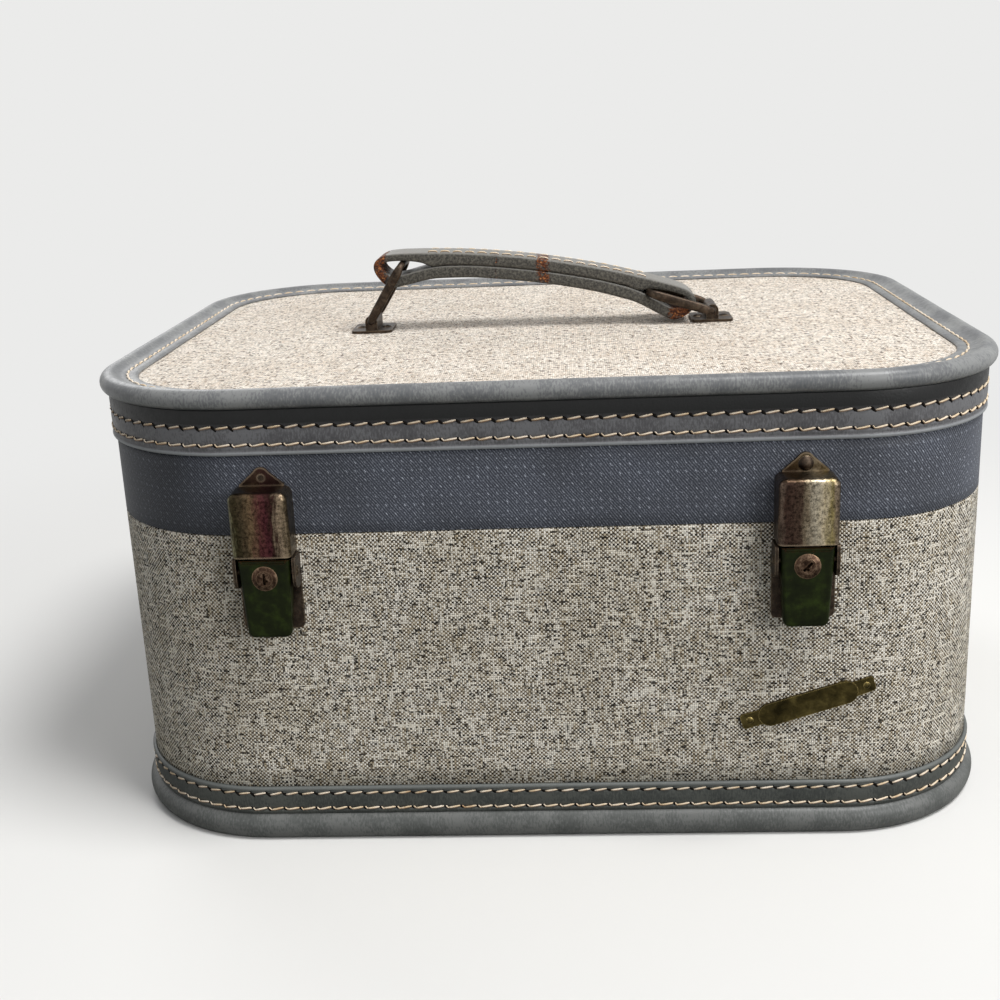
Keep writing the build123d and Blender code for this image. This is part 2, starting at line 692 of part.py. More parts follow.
def hood(x):
    """Pressed hood on the lid, open below and behind, with the riveted tab above it."""
    place = facing_front(x, rim_gap, 0)
    depth = hood_out - rim_gap
    outer = extrude(hood_outline(0), depth)
    front_edges = outer.faces().sort_by(Axis.Z)[-1].edges().sort_by(Axis.Y)[1:]
    outer = fillet(front_edges, hood_edge_round)
    inner = extrude(hood_outline(hood_sheet, low_extra=through), depth - hood_sheet)
    inner_edges = inner.faces().sort_by(Axis.Z)[-1].edges().sort_by(Axis.Y)[1:]
    inner = fillet(inner_edges, hood_inner_round)
    shell = place * (outer - inner)
    tip_centre = tab_tip_height - tab_tip_radius
    half = tab_width / 2
    tip = Pos(0, tip_centre) * Circle(tab_tip_radius)
    root = hood_high - tab_root
    shoulder = hood_high + tab_shoulder
    meet = (tab_tip_radius * tab_tip_share, tip_centre + tab_tip_radius / 2)
    lower = Polyline((-half, root), (half, root), (half, shoulder), meet, (-meet[0], meet[1]),
                     (-half, shoulder), close=True)
    tab = facing_front(x, 0, 0) * extrude(make_face(lower) + tip, plate_thickness)
    keeper_web = facing_front(x, 0, 0) * extrude(
        make_face(Polyline((-half, root), (half, root), (half, root + tab_web_thickness),
                           (-half, root + tab_web_thickness), close=True)), tab_web_depth)
    cover = shell + tab + keeper_web
    return cover - rivet_hole(tab_rivet_place(x), sheet_rivet_radius, plate_thickness + through)


def keeper(x):
    """Angle fixed inside the hood's lower edge: the ledge that the catch's barb sits behind."""
    inside = hood_out - hood_sheet
    width = catch_width + 2 * keeper_side_margin
    low = hood_low + keeper_low_rise
    upright = facing_front(x, inside - keeper_sheet, low + keeper_height / 2) * extrude(
        Rectangle(width, keeper_height), keeper_sheet)
    ledge = facing_front(x, ledge_inner_out, low + keeper_ledge_thickness / 2) * extrude(
        Rectangle(width, keeper_ledge_thickness), keeper_ledge_reach)
    return upright + ledge


for side in sides:
    x = latch_x[side]
    parts[side + "_latch_plate"] = latch_plate(x)
    parts[side + "_rocker_stubs"] = rocker_stubs(x)
    parts[side + "_rocker"] = rocker(x)
    parts[side + "_catch"] = catch(x)
    parts[side + "_lock_barrel"] = lock_barrel(x)
    parts[side + "_key_plug"] = key_plug(x, key_turn[side])
    parts[side + "_hood"] = hood(x)
    parts[side + "_keeper"] = keeper(x)
    parts[side + "_plate_rivets"] = Compound([
        rivet(place, sheet_rivet_radius, sheet_rivet_head, plate_rivet_rise, plate_thickness + shell_shank)
        for place in latch_plate_rivet_places(x)])

# The right tab's rivet keeps its dome; the left one's head is broken off
tab_shank = plate_thickness + cloth + lid_wall
parts["right_hood_rivet"] = rivet(tab_rivet_place(latch_x["right"]), sheet_rivet_radius,
                                  hood_rivet_head, hood_rivet_rise, tab_shank)
parts["left_hood_rivet"] = tab_rivet_place(latch_x["left"]) * (
    Pos(0, 0, -tab_shank) * disc(sheet_rivet_radius, tab_shank - broken_rivet_depth))


# Rear hinges
def hinge_leaf(x, on_lid):
    """Leaf on the rear wall with its share of the knuckles: three on the base, two on the lid."""
    knuckle_length = hinge_width / 5
    up = 1 if on_lid else -1
    away = knuckle_radius + knuckle_clearance
    plate = facing_rear(x, 0, hinge_axis_height + up * (leaf_height + away) / 2) * extrude(
        Rectangle(hinge_width, leaf_height - away), leaf_thickness)
    plate = fillet(plate.edges().filter_by(Axis.Y).sort_by(Axis.Z)[-2:] if on_lid
                   else plate.edges().filter_by(Axis.Y).sort_by(Axis.Z)[:2], leaf_corner)
    bore = hinge_pin_radius + (running if on_lid else 0)
    leaf = plate
    for index in range(5):
        if (index % 2 == 1) != on_lid:
            continue
        start = x - hinge_width / 2 + index * knuckle_length
        low_gap = 0 if index == 0 else knuckle_gap / 2
        high_gap = 0 if index == 4 else knuckle_gap / 2
        length = knuckle_length - low_gap - high_gap
        centre = start + low_gap + length / 2
        barrel = Pos(centre - length / 2, hinge_axis_y, hinge_axis_height) * Rot(0, 90, 0) * disc(
            knuckle_radius, length)
        tongue = facing_rear(centre, 0, hinge_axis_height + up * (away + through) / 2) * extrude(
            Rectangle(length, away + through), leaf_thickness)
        leaf = leaf + barrel + tongue
    axle = Pos(x - hinge_width, hinge_axis_y, hinge_axis_height) * Rot(0, 90, 0)
    leaf = leaf - axle * disc(bore, 2 * hinge_width)
    height = lid_leaf_rivet_height if on_lid else base_leaf_rivet_height
    return less(leaf, [rivet_hole(place, sheet_rivet_radius, leaf_thickness + through)
                       for place in hinge_rivet_places(x, height)])


def hinge_rivets(height, wall):
    shank = leaf_thickness + cloth + wall
    return Compound([rivet(place, sheet_rivet_radius, sheet_rivet_head, rivet_rise, shank)
                     for sign in (-1, 1) for place in hinge_rivet_places(sign * hinge_x, height)])


for side, sign in (("left", -1), ("right", 1)):
    x = sign * hinge_x
    parts[side + "_hinge_base_leaf"] = hinge_leaf(x, False)
    parts[side + "_hinge_lid_leaf"] = hinge_leaf(x, True)
    pin = Pos(x - hinge_width / 2 - pin_overhang, hinge_axis_y, hinge_axis_height) * Rot(0, 90, 0) * disc(
        hinge_pin_radius, hinge_width + 2 * pin_overhang)
    parts[side + "_hinge_pin"] = pin
parts["hinge_base_rivets"] = hinge_rivets(base_leaf_rivet_height, base_wall)
parts["hinge_lid_rivets"] = hinge_rivets(lid_leaf_rivet_height, lid_wall)

# Lid stays
stay_angle = degrees(asin(stay_rise / stay_reach))
stay_y = hinge_axis_y - stay_reach * cos(radians(stay_angle))
stay_closed = 2 * stay_reach * sin(radians(stay_angle))
stay_open = 2 * stay_reach * sin(radians(stay_angle + lid_opening / 2))
stay_pivot_height = hinge_axis_height + stay_rise
stay_stud_height = hinge_axis_height - stay_rise
stay_face = case_width / 2 + base_lined - stay_stand_off


def stay_arm(sign):
    """Slotted arm, hanging from its pivot on the lid, with the slot's ends as the lid's stops."""
    half = stay_width / 2
    bore = stay_stud_radius + stay_slot_clearance
    length = stay_open + bore + stay_end_margin
    slot_span = stay_open - stay_closed
    outline = Pos(0, -length / 2 + half / 2) * SlotOverall(length + half, stay_width, rotation=90)
    arm = extrude(outline, stay_thickness)
    arm = arm - extrude(Circle(stay_stud_radius + running), stay_thickness)
    slot = Pos(0, -(stay_closed + stay_open) / 2) * SlotOverall(slot_span + 2 * bore, 2 * bore, rotation=90)
    arm = arm - extrude(slot, stay_thickness)
    outward = Plane(origin=(sign * (stay_face - stay_thickness), stay_y, stay_pivot_height),
                    x_dir=(0, sign, 0), z_dir=(sign, 0, 0))
    return Location(outward) * arm


def stay_stud(sign, height, wall_offset):
    """Shouldered stud from the wall through the arm, with a round head inside."""
    wall_face = case_width / 2 + wall_offset
    outward = Plane(origin=(sign * wall_face, stay_y, height), x_dir=(0, sign, 0), z_dir=(-sign, 0, 0))
    shoulder = disc(stay_shoulder_radius, wall_face - stay_face - stay_play)
    shank = disc(stay_stud_radius, wall_face - stay_face + stay_thickness + 2 * stay_play)
    head = Pos(0, 0, wall_face - stay_face + stay_thickness + stay_play) * disc(
        stay_head_radius, stay_head_thickness)
    inside = slab(wall_offset, height - stay_head_radius, height + stay_head_radius)
    return (Location(outward) * (shoulder + shank + head)) & inside


for side, sign in (("left", -1), ("right", 1)):
    parts[side + "_stay_arm"] = stay_arm(sign)
    parts[side + "_stay_pivot"] = stay_stud(sign, stay_pivot_height, lid_lined)
    parts[side + "_stay_stud"] = stay_stud(sign, stay_stud_height, base_lined)


# Handle mounts, bails and strap
def handle_mount(x):
    """Riveted plate with a raised tunnel that holds the bail's lower bar."""
    pivot_height = top_face + bail_pivot_rise
    inner = bail_rod + running
    outer = inner + mount_thickness
    plate = Pos(x, 0, top_face) * extrude(
        RectangleRounded(mount_width, mount_depth, mount_corner), mount_thickness)
    along_y = Plane(origin=(x, mount_tunnel_length / 2, pivot_height), x_dir=(1, 0, 0), z_dir=(0, -1, 0))
    tunnel = Location(along_y) * disc(outer, mount_tunnel_length)
    neck = Pos(x, 0, (top_face + pivot_height) / 2) * Box(2 * outer, mount_tunnel_length, bail_pivot_rise)
    hollow = Location(along_y) * (Pos(0, 0, -through) * disc(inner, mount_tunnel_length + 2 * through))
    bridge = (tunnel + neck) - hollow
    rivets = [rivet_hole(place, sheet_rivet_radius, mount_thickness + through)
              for place in mount_rivet_places(x)]
    heads = [place * disc(sheet_rivet_head, mount_thickness) for place in mount_rivet_places(x)]
    return less(less(bridge, heads) + plate, rivets)


def bail(x, lean, inward):
    """Wire ring: a bar in the mount, a bar through the strap's eye and two legs outside the strap."""
    half = bail_inside / 2 + bail_rod
    outline = Pos(0, bail_length / 2) * RectangleRounded(2 * half, bail_length, bail_corner)
    path = outline.wire()
    ring = sweep(Plane(origin=path @ 0, z_dir=path % 0) * Circle(bail_rod), path=path)
    angle = radians(lean)
    along = (inward * cos(angle), 0, sin(angle))
    plane = Plane(origin=(x, 0, top_face + bail_pivot_rise), x_dir=(0, 1, 0),
                  z_dir=Vector(0, 1, 0).cross(Vector(*along)))
    return Location(plane) * ring


def strap_top(u):
    return strap_crown - u * u / (2 * strap_crown_radius)


def drawn(points):
    """Outline points, fitted to the strap's real half length."""
    fit = handle_half_length / strap_drawn_half
    return [(u * fit, w * fit) for u, w in points]


def strap_profile():
    """Side outline of the doubled strap, in the handle's own frame."""
    crown_end = drawn([(strap_crown_end, 0)])[0][0]
    crown_fall = strap_top(crown_end)
    top = ThreePointArc((-crown_end, crown_fall), (0, strap_crown), (crown_end, crown_fall))
    ends = drawn(strap_end_points)
    low = drawn(strap_low_points)
    belly = ThreePointArc(low[-1], (0, -strap_underside), (-low[-1][0], low[-1][1]))
    right_end = Spline((crown_end, crown_fall), *ends, tangents=[(1, -0.17), (-1, -0.18)])
    right_low = Spline(ends[-1], *low, tangents=[(-1, -0.18), (-1, 0.24)])
    left_end = right_end.mirror(Plane.YZ)
    left_low = right_low.mirror(Plane.YZ)
    return make_face(Wire([top, right_end, right_low, belly, left_low, left_end]).edges())


def strap_eye():
    """Opening between the two layers of leather at one end."""
    upper = drawn(eye_top_points)
    lower = drawn(eye_low_points)
    top = Spline(*upper, tangents=[(0.7, 0.7), (-0.1, -1)])
    low = Spline(upper[-1], *lower, tangents=[(-0.1, -1), (-0.8, 0.5)])
    inner = RadiusArc(lower[-1], upper[0], -eye_inner_round)
    return make_face(Wire([top, low, inner]).edges())


def strap():
    """Doubled leather strap with an eye at each end and a crease along both edges."""
    upright = Plane(origin=(0, handle_width / 2, 0), x_dir=(1, 0, 0), z_dir=(0, -1, 0))
    solid = Location(upright) * extrude(strap_profile(), handle_width)
    level = solid.edges().filter_by(lambda edge: edge.bounding_box().size.Y < strap_round / 100)
    solid = fillet(level, strap_round)
    eye = Location(upright) * extrude(strap_eye(), handle_width)
    solid = solid - eye - eye.mirror(Plane.YZ)
    crease_top = strap_crown - strap_layer
    end_top = crease_top - crease_fall
    end_low = end_top - crease_end_width
    seam = ThreePointArc((-crease_end, end_top), (0, crease_top), (crease_end, end_top))
    seam_low = ThreePointArc((crease_end, end_low), (0, crease_top - crease_width), (-crease_end, end_low))
    sliver = make_face(Wire([seam, Line((crease_end, end_top), (crease_end, end_low)), seam_low,
                             Line((-crease_end, end_low), (-crease_end, end_top))]).edges())
    for edge_y in (crease_depth - handle_width / 2, handle_width / 2):
        plane = Plane(origin=(0, edge_y, 0), x_dir=(1, 0, 0), z_dir=(0, -1, 0))
        solid = solid - Location(plane) * extrude(sliver, crease_depth)
    return Pos(handle_shift, 0, top_face + handle_rise) * Rot(0, handle_tilt, 0) * solid


for side, inward in (("left", 1), ("right", -1)):
    parts[side + "_handle_mount"] = handle_mount(bail_pivot[side])
    parts[side + "_bail"] = bail(bail_pivot[side], bail_lean[side], inward)
parts["handle_strap"] = strap()
parts["handle_mount_rivets"] = Compound([
    rivet(place, sheet_rivet_radius, sheet_rivet_head, rivet_rise, mount_thickness + cloth + lid_wall)
    for side in sides for place in mount_rivet_places(bail_pivot[side])])

# The origin stands under the middle of the whole case, hinges and latches included
front_reach = front_wall + hood_out
rear_reach = hinge_axis_y + knuckle_radius
origin_shift = Pos(0, (front_reach - rear_reach) / 2, 0)

os.makedirs("parts", exist_ok=True)
for name, shape in parts.items():
    export_step(origin_shift * shape, os.path.join("parts", name + ".step"))
print(len(parts), "nodes; shift in Y", round((front_reach - rear_reach) / 2, 3))
print("top face", top_face, "roll", roll_height, "ceiling", ceiling_face, "lid bead", lid_bead_height)
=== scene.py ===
from functools import partial
from math import asin, cos, degrees, hypot, pi, radians, sin, sqrt
import bpy
import bmesh
from mathutils import Matrix, Vector, noise


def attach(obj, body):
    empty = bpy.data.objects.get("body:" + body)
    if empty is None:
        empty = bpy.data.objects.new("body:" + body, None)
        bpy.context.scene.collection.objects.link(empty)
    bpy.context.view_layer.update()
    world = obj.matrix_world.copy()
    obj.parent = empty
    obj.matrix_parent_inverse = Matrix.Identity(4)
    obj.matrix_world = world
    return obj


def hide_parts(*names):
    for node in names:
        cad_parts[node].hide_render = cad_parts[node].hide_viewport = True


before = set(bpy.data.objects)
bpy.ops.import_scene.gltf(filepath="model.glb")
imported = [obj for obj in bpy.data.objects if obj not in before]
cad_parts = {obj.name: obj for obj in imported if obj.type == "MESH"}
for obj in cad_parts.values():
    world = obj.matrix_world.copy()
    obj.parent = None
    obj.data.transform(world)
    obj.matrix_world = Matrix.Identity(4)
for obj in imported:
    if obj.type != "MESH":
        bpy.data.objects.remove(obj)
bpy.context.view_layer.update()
bpy.context.scene.view_settings.view_transform = "Standard"
print("frame loaded")


def linearRgb(hexCode):
    parts = [int(hexCode[k:k + 2], 16) / 255 for k in (1, 3, 5)]
    return tuple(v / 12.92 if v <= 0.04045 else ((v + 0.055) / 1.055) ** 2.4 for v in parts) + (1.0,)


def addNode(tree, kind, inputs=(), operation=None, out=0, stops=None, **settings):
    # inputs come in the order of the sockets, or by their names or numbers; a short kind is a shader node
    node = tree.nodes.new(kind if "Node" in kind else "ShaderNode" + kind)
    if operation:
        node.operation = operation
    for key, value in settings.items():
        setattr(node, key, value)
    if stops:
        ramp = node.color_ramp
        while len(ramp.elements) < len(stops):
            ramp.elements.new(0.5)
        for element, (place, colour) in zip(ramp.elements, stops):
            element.position = place
            element.color = linearRgb(colour)
    for key, value in (inputs if isinstance(inputs, dict) else dict(enumerate(inputs))).items():
        socket = node.inputs[key]
        if isinstance(value, bpy.types.NodeSocket):
            tree.links.new(value, socket)
        else:
            socket.default_value = linearRgb(value) if isinstance(value, str) and value[0] == "#" else value
    return node.outputs[out]


def newMaterial(name):
    # the material and the function that adds a node to it
    material = bpy.data.materials.new(name)
    material.use_nodes = True
    material.node_tree.nodes.clear()
    return material, partial(addNode, material.node_tree)


def closeMaterial(material, shader):
    tree = material.node_tree
    tree.links.new(shader, tree.nodes.new("ShaderNodeOutputMaterial").inputs["Surface"])
    return material


def newObject(name, data):
    made = bpy.data.objects.new(name, data)
    bpy.context.scene.collection.objects.link(made)
    return made


# camera: where the photograph was taken from
view = {"place": (0.014791, -0.599717, 0.277519), "yaw": -0.063641, "pitch": 0.294288, "roll": -0.044703,
        "focalPixels": 1348.486, "picturePixels": 1000, "sensor": 36.0}
cameraData = bpy.data.cameras.new("photoCamera")
cameraData.sensor_width = view["sensor"]
cameraData.lens = view["focalPixels"] / view["picturePixels"] * view["sensor"]
cameraData.clip_start = 0.01
yaw, pitch, roll = view["yaw"], view["pitch"], view["roll"]
lookAlong = Vector((sin(yaw) * cos(pitch), cos(yaw) * cos(pitch), -sin(pitch)))
levelRight = Vector((cos(yaw), -sin(yaw), 0))
levelUp = levelRight.cross(lookAlong)
rightward = levelRight * cos(roll) + levelUp * sin(roll)
upward = levelUp * cos(roll) - levelRight * sin(roll)
cameraObject = newObject("photoCamera", cameraData)
cameraObject.matrix_world = Matrix.Translation(view["place"]) @ Matrix(
    (rightward, upward, -lookAlong)).transposed().to_4x4()
bpy.context.scene.camera = cameraObject

# floor and lights: lamps are name, watts, diameter and place, all turned to the middle of the case
light = {"lamps": [("overheadSoftbox", 23.8, 0.7, (0.62, -0.42, 1.6)),
                   ("frontFill", 18.0, 1.0, (1.4, -1.4, 0.75)),
                   ("rearFill", 5.5, 0.8, (-0.7, 1.0, 0.9))],
         "aim": (0, 0, 0.08), "world": 0.36, "sky": "#f4f6fa", "backdrop": "#ebebea", "floorSeen": "#e2e1de",
         "floorBounce": "#8f908c", "floorReach": 6.0, "fadeFrom": 0.22, "fadeTo": 0.75}

for lampName, watts, diameter, lampPlace in light["lamps"]:
    lamp = bpy.data.lights.new(lampName, "AREA")
    lamp.energy = watts
    lamp.shape = "DISK"
    lamp.size = diameter
    holder = newObject(lampName, lamp)
    holder.location = lampPlace
    holder.rotation_euler = (Vector(light["aim"]) - Vector(lampPlace)).to_track_quat("-Z", "Y").to_euler()

world = bpy.data.worlds.new("studio")
bpy.context.scene.world = world
world.use_nodes = True
worldTree = world.node_tree
worldTree.nodes.clear()
add = partial(addNode, worldTree)
cameraRay = add("LightPath")
seen = add("Math", [cameraRay, cameraRay.node.outputs["Is Glossy Ray"]], "MAXIMUM")
plainLight = add("Background", {"Color": light["sky"], "Strength": light["world"]})
plainBack = add("Background", {"Color": light["backdrop"], "Strength": 1.0})
mixedWorld = add("MixShader", [seen, plainLight, plainBack])
worldTree.links.new(mixedWorld, worldTree.nodes.new("ShaderNodeOutputWorld").inputs["Surface"])

# the settings of a colour mix, a multiplied one and a pattern in a map's own two directions
blend = {"out": 2, "data_type": "RGBA"}
multiply = dict(blend, blend_type="MULTIPLY")
inPlane = {"noise_dimensions": "2D"}


def floorPaper(name):
    # matt paper, shown pale but bouncing little light; away from the case it takes the backdrop's colour,
    # so that no horizon is seen
    material, add = newMaterial(name)
    ray = add("LightPath")
    shown = add("Math", [ray, ray.node.outputs["Is Glossy Ray"]], "MAXIMUM")
    colour = add("Mix", {0: ray, 6: light["floorBounce"], 7: light["floorSeen"]}, **blend)
    paper = add("BsdfPrincipled", {"Base Color": colour, "Roughness": 0.9, "Specular IOR Level": 0.1})
    place = add("TexCoord", out=3)
    away = add("VectorMath", [place], "LENGTH", out=1)
    fade = add("MapRange", [away, light["fadeFrom"], light["fadeTo"]], interpolation_type="SMOOTHSTEP")
    plain = add("Math", [fade, shown], "MULTIPLY")
    back = add("Emission", {"Color": light["backdrop"], "Strength": 1.0})
    return closeMaterial(material, add("MixShader", [plain, paper, back]))


floorMesh = bpy.data.meshes.new("studioFloor")
reach = light["floorReach"]
floorMesh.from_pydata([(-reach, -reach, 0), (reach, -reach, 0), (reach, reach, 0), (-reach, reach, 0)], [],
                      [(0, 1, 2, 3)])
floorMesh.materials.append(floorPaper("studioFloorPaper"))
newObject("studioFloor", floorMesh)
print("camera, floor and lights")


# materials
def millimetres(add, source="cloth"):
    # the piece's own cloth map, or its object coordinates, in millimetres
    if source == "object":
        place = add("TexCoord", out=3)
    else:
        place = add("UVMap", uv_map=source)
    return add("VectorMath", {0: place, 3: 1000.0}, "SCALE")


def tweedCloth(name, look):
    # coated rayon-and-cotton tweed: matt plain weave, pale warp over dark weft, soft dark slubs both ways.
    # Real threads are about 0.5 mm; they are drawn at look["thread"] so that the weave still shows.
    material, add = newMaterial(name)
    flat = millimetres(add)
    drift = add("TexNoise", {"Vector": flat, "Scale": 0.05, "Detail": 2.0}, out=1, **inPlane)
    moved = add("VectorMath", [drift, (0.7, 0.7, 0), flat], "MULTIPLY_ADD")
    counted = add("VectorMath", {0: moved, 3: 1 / look["thread"]}, "SCALE")
    cell = add("VectorMath", [counted], "FLOOR")
    within = add("VectorMath", [counted], "FRACTION")
    cellX = add("SeparateXYZ", [cell])
    cellY = cellX.node.outputs[1]
    placeX = add("SeparateXYZ", [moved])
    placeY = placeX.node.outputs[1]
    both = add("Math", [cellX, cellY], "ADD")
    over = add("Math", [both, 2.0], "FLOORED_MODULO")
    # each thread keeps its own run of light and dark along its length, and some runs are paler;
    # odd multipliers keep the runs of neighbouring threads apart
    warpKey = add("Math", [cellX, 13.71], "MULTIPLY")
    weftKey = add("Math", [cellY, 17.37, 300.0], "MULTIPLY_ADD")
    yarnColours, pales = [], []
    for yarnTones, key, place in ((look["warp"], warpKey, placeY), (look["weft"], weftKey, placeX)):
        along = add("Math", [place, look["runRate"]], "MULTIPLY")
        at = add("CombineXYZ", [key, along])
        tone = add("TexNoise", {"Vector": at, "Scale": 1.0, "Detail": 2.0, "Roughness": 0.6}, **inPlane)
        yarnColours.append(add("ValToRGB", [tone], stops=yarnTones))
        pales.append(add("MapRange", [tone, look["paleFrom"], look["paleFrom"] - 0.05, 0.0, look["pale"]]))
    warp, weft = yarnColours
    yarn = add("Mix", {0: over, 6: weft, 7: warp}, **blend)
    # every crossing catches the light a little differently
    chance = add("TexWhiteNoise", {"Vector": cell}, **inPlane)
    uneven = add("MapRange", [chance, 0.0, 1.0, look["uneven"], 1.0])
    spotted = add("Mix", {0: 1.0, 6: yarn, 7: uneven}, **multiply)
    pale = add("Math", pales, "MAXIMUM")
    paler = add("Mix", {0: pale, 6: spotted, 7: look["paleYarn"]}, **blend)
    # soft dark slubs a few threads wide, most of them lying across
    long, short = look["slubLong"], look["slubShort"]
    lying = add("VectorMath", [moved, (long, short, 0)], "MULTIPLY")
    standing = add("VectorMath", [moved, (short, long, 0), (37.0, 11.0, 0)], "MULTIPLY_ADD")
    darks = []
    for at, start in ((lying, look["slubFrom"]), (standing, look["slubFrom"] + 0.03)):
        slub = add("TexNoise", {"Vector": at, "Scale": 1.0, "Detail": 2.0, "Roughness": 0.55}, **inPlane)
        darks.append(add("MapRange", [slub, start, start + 0.06]))
    dark = add("Math", darks, "MAXIMUM")
    darkAmount = add("Math", [dark, look["slubDepth"]], "MULTIPLY")
    slubbed = add("Mix", {0: darkAmount, 6: paler, 7: look["slub"]}, **blend)
    # each thread is round, and dips at its ends under the next
    bow = add("VectorMath", [within, (2, 2, 0), (-1, -1, 0)], "MULTIPLY_ADD")
    bowed = add("VectorMath", [bow, bow], "MULTIPLY")
    ridge = add("VectorMath", [(1, 1, 0), bowed], "SUBTRACT")
    ridgeX = add("SeparateXYZ", [ridge])
    ridgeY = ridgeX.node.outputs[1]
    lowWarp = add("Math", [ridgeY, 0.5, 0.5], "MULTIPLY_ADD")
    lowWeft = add("Math", [ridgeX, 0.5, 0.5], "MULTIPLY_ADD")
    warpHeight = add("Math", [ridgeX, lowWarp], "MULTIPLY")
    weftHeight = add("Math", [ridgeY, lowWeft], "MULTIPLY")
    height = add("Mix", {0: over, 2: weftHeight, 3: warpHeight}, data_type="FLOAT")
    # painted shade: the colour is darkened in the dips between threads
    shade = add("MapRange", [height, 0.0, 0.4, look["paintedGapShade"], 1.0])
    coloured = add("Mix", {0: 1.0, 6: slubbed, 7: shade}, **multiply)
    # dust on the whole, and patches a few threads wide that stand lighter or darker, as the yarn is uneven
    dust = add("TexNoise", {"Vector": flat, "Scale": 0.022, "Detail": 4.0, "Roughness": 0.6}, **inPlane)
    grime = add("ValToRGB", [dust], stops=[(0.34, look["dustDark"]), (0.60, "#ffffff")])
    dusted = add("Mix", {0: look["dust"], 6: coloured, 7: grime}, **multiply)
    patch = add("TexNoise", {"Vector": moved, "Scale": look["patchRate"], "Detail": 3.0, "Roughness": 0.7},
                **inPlane)
    patchy = add("MapRange", [patch, 0.32, 0.64, look["patchLow"], 1.0])
    aged = add("Mix", {0: 1.0, 6: dusted, 7: patchy}, **multiply)
    bump = add("Bump", {"Height": height, "Strength": 0.8, "Distance": 0.00018})
    return closeMaterial(material, add("BsdfPrincipled", {
        "Base Color": aged, "Roughness": 0.8, "Specular IOR Level": 0.2, "Normal": bump}))


def figuredCloth(name, look):
    # coated figured cloth: blue-grey ground, fine raised dashes falling to the right at look["repeat"]
    material, add = newMaterial(name)
    flat = millimetres(add)
    drift = add("TexNoise", {"Vector": flat, "Scale": 0.09, "Detail": 1.0}, out=1, **inPlane)
    moved = add("VectorMath", [drift, (0.8, 0.8, 0), flat], "MULTIPLY_ADD")
    wide, high = look["repeat"]
    slant = radians(look["slant"])
    crossways, lengthways = (sin(slant), cos(slant), 0), (cos(slant), -sin(slant), 0)
    # fine diagonal lines, drawn coarser than the real 0.4 mm rib so that they still show
    acrossAll = add("VectorMath", [moved, crossways], "DOT_PRODUCT", out=1)
    turns = add("Math", [acrossAll, 2 * pi / look["rib"]], "MULTIPLY")
    wave = add("Math", [turns], "SINE")
    raised = add("MapRange", [wave, -1.0, 1.0, 0.0, look["ribHigh"]])
    for shiftX, shiftY, strength, length in look["dashes"]:
        spread = add("VectorMath", [moved, (1 / wide, 1 / high, 0), (shiftX, shiftY, 0)], "MULTIPLY_ADD")
        cell = add("VectorMath", [spread], "FLOOR")
        within = add("VectorMath", [spread], "FRACTION")
        centred = add("VectorMath", [within, (wide, high, 0), (-wide / 2, -high / 2, 0)], "MULTIPLY_ADD")
        across = add("VectorMath", [centred, crossways], "DOT_PRODUCT", out=1)
        along = add("VectorMath", [centred, lengthways], "DOT_PRODUCT", out=1)
        side = add("Math", [across], "ABSOLUTE")
        reached = add("Math", [along], "ABSOLUTE")
        width = add("MapRange", [side, 0.06, 0.32, strength, 0.0])
        ends = add("MapRange", [reached, length * 0.5, length, 1.0, 0.0])
        chance = add("TexWhiteNoise", {"Vector": cell}, **inPlane)
        varied = add("MapRange", [chance, 0.0, 1.0, 0.75, 1.1])
        shaped = add("Math", [width, ends], "MULTIPLY")
        stroke = add("Math", [shaped, varied], "MULTIPLY")
        raised = add("Math", [raised, stroke], "MAXIMUM")
    fibre = add("TexNoise", {"Vector": flat, "Scale": 1.6, "Detail": 3.0, "Roughness": 0.7}, **inPlane)
    lifted = add("Math", [fibre, 0.75, raised], "MULTIPLY_ADD")
    colour = add("ValToRGB", [lifted], stops=look["tones"])
    wearNoise = add("TexNoise", {"Vector": flat, "Scale": 0.03, "Detail": 4.0}, **inPlane)
    wear = add("ValToRGB", [wearNoise], stops=[(0.35, "#a9a5a0"), (0.62, "#ffffff")])
    worn = add("Mix", {0: 0.4, 6: colour, 7: wear}, **multiply)
    # painted shade: a stretch round the left front corner is darkened in the colour; distance along the wall
    # in millimetres
    wallAt = add("SeparateXYZ", [flat])
    first, last, cornerShadeDepth = look["paintedShade"]
    toShadedCorner = add("Math", [wallAt, -(first + last) / 2], "ADD")
    shadedCornerFar = add("Math", [toShadedCorner], "ABSOLUTE")
    soilAndShade = add("MapRange", [shadedCornerFar, (last - first) * 0.2, (last - first) * 0.6, cornerShadeDepth, 1.0],
               interpolation_type="SMOOTHSTEP")
    aged = add("Mix", {0: 1.0, 6: worn, 7: soilAndShade}, **multiply)
    bump = add("Bump", {"Height": lifted, "Strength": 0.5, "Distance": 0.00015})
    return closeMaterial(material, add("BsdfPrincipled", {
        "Base Color": aged, "Roughness": 0.55, "Specular IOR Level": 0.3, "Normal": bump}))


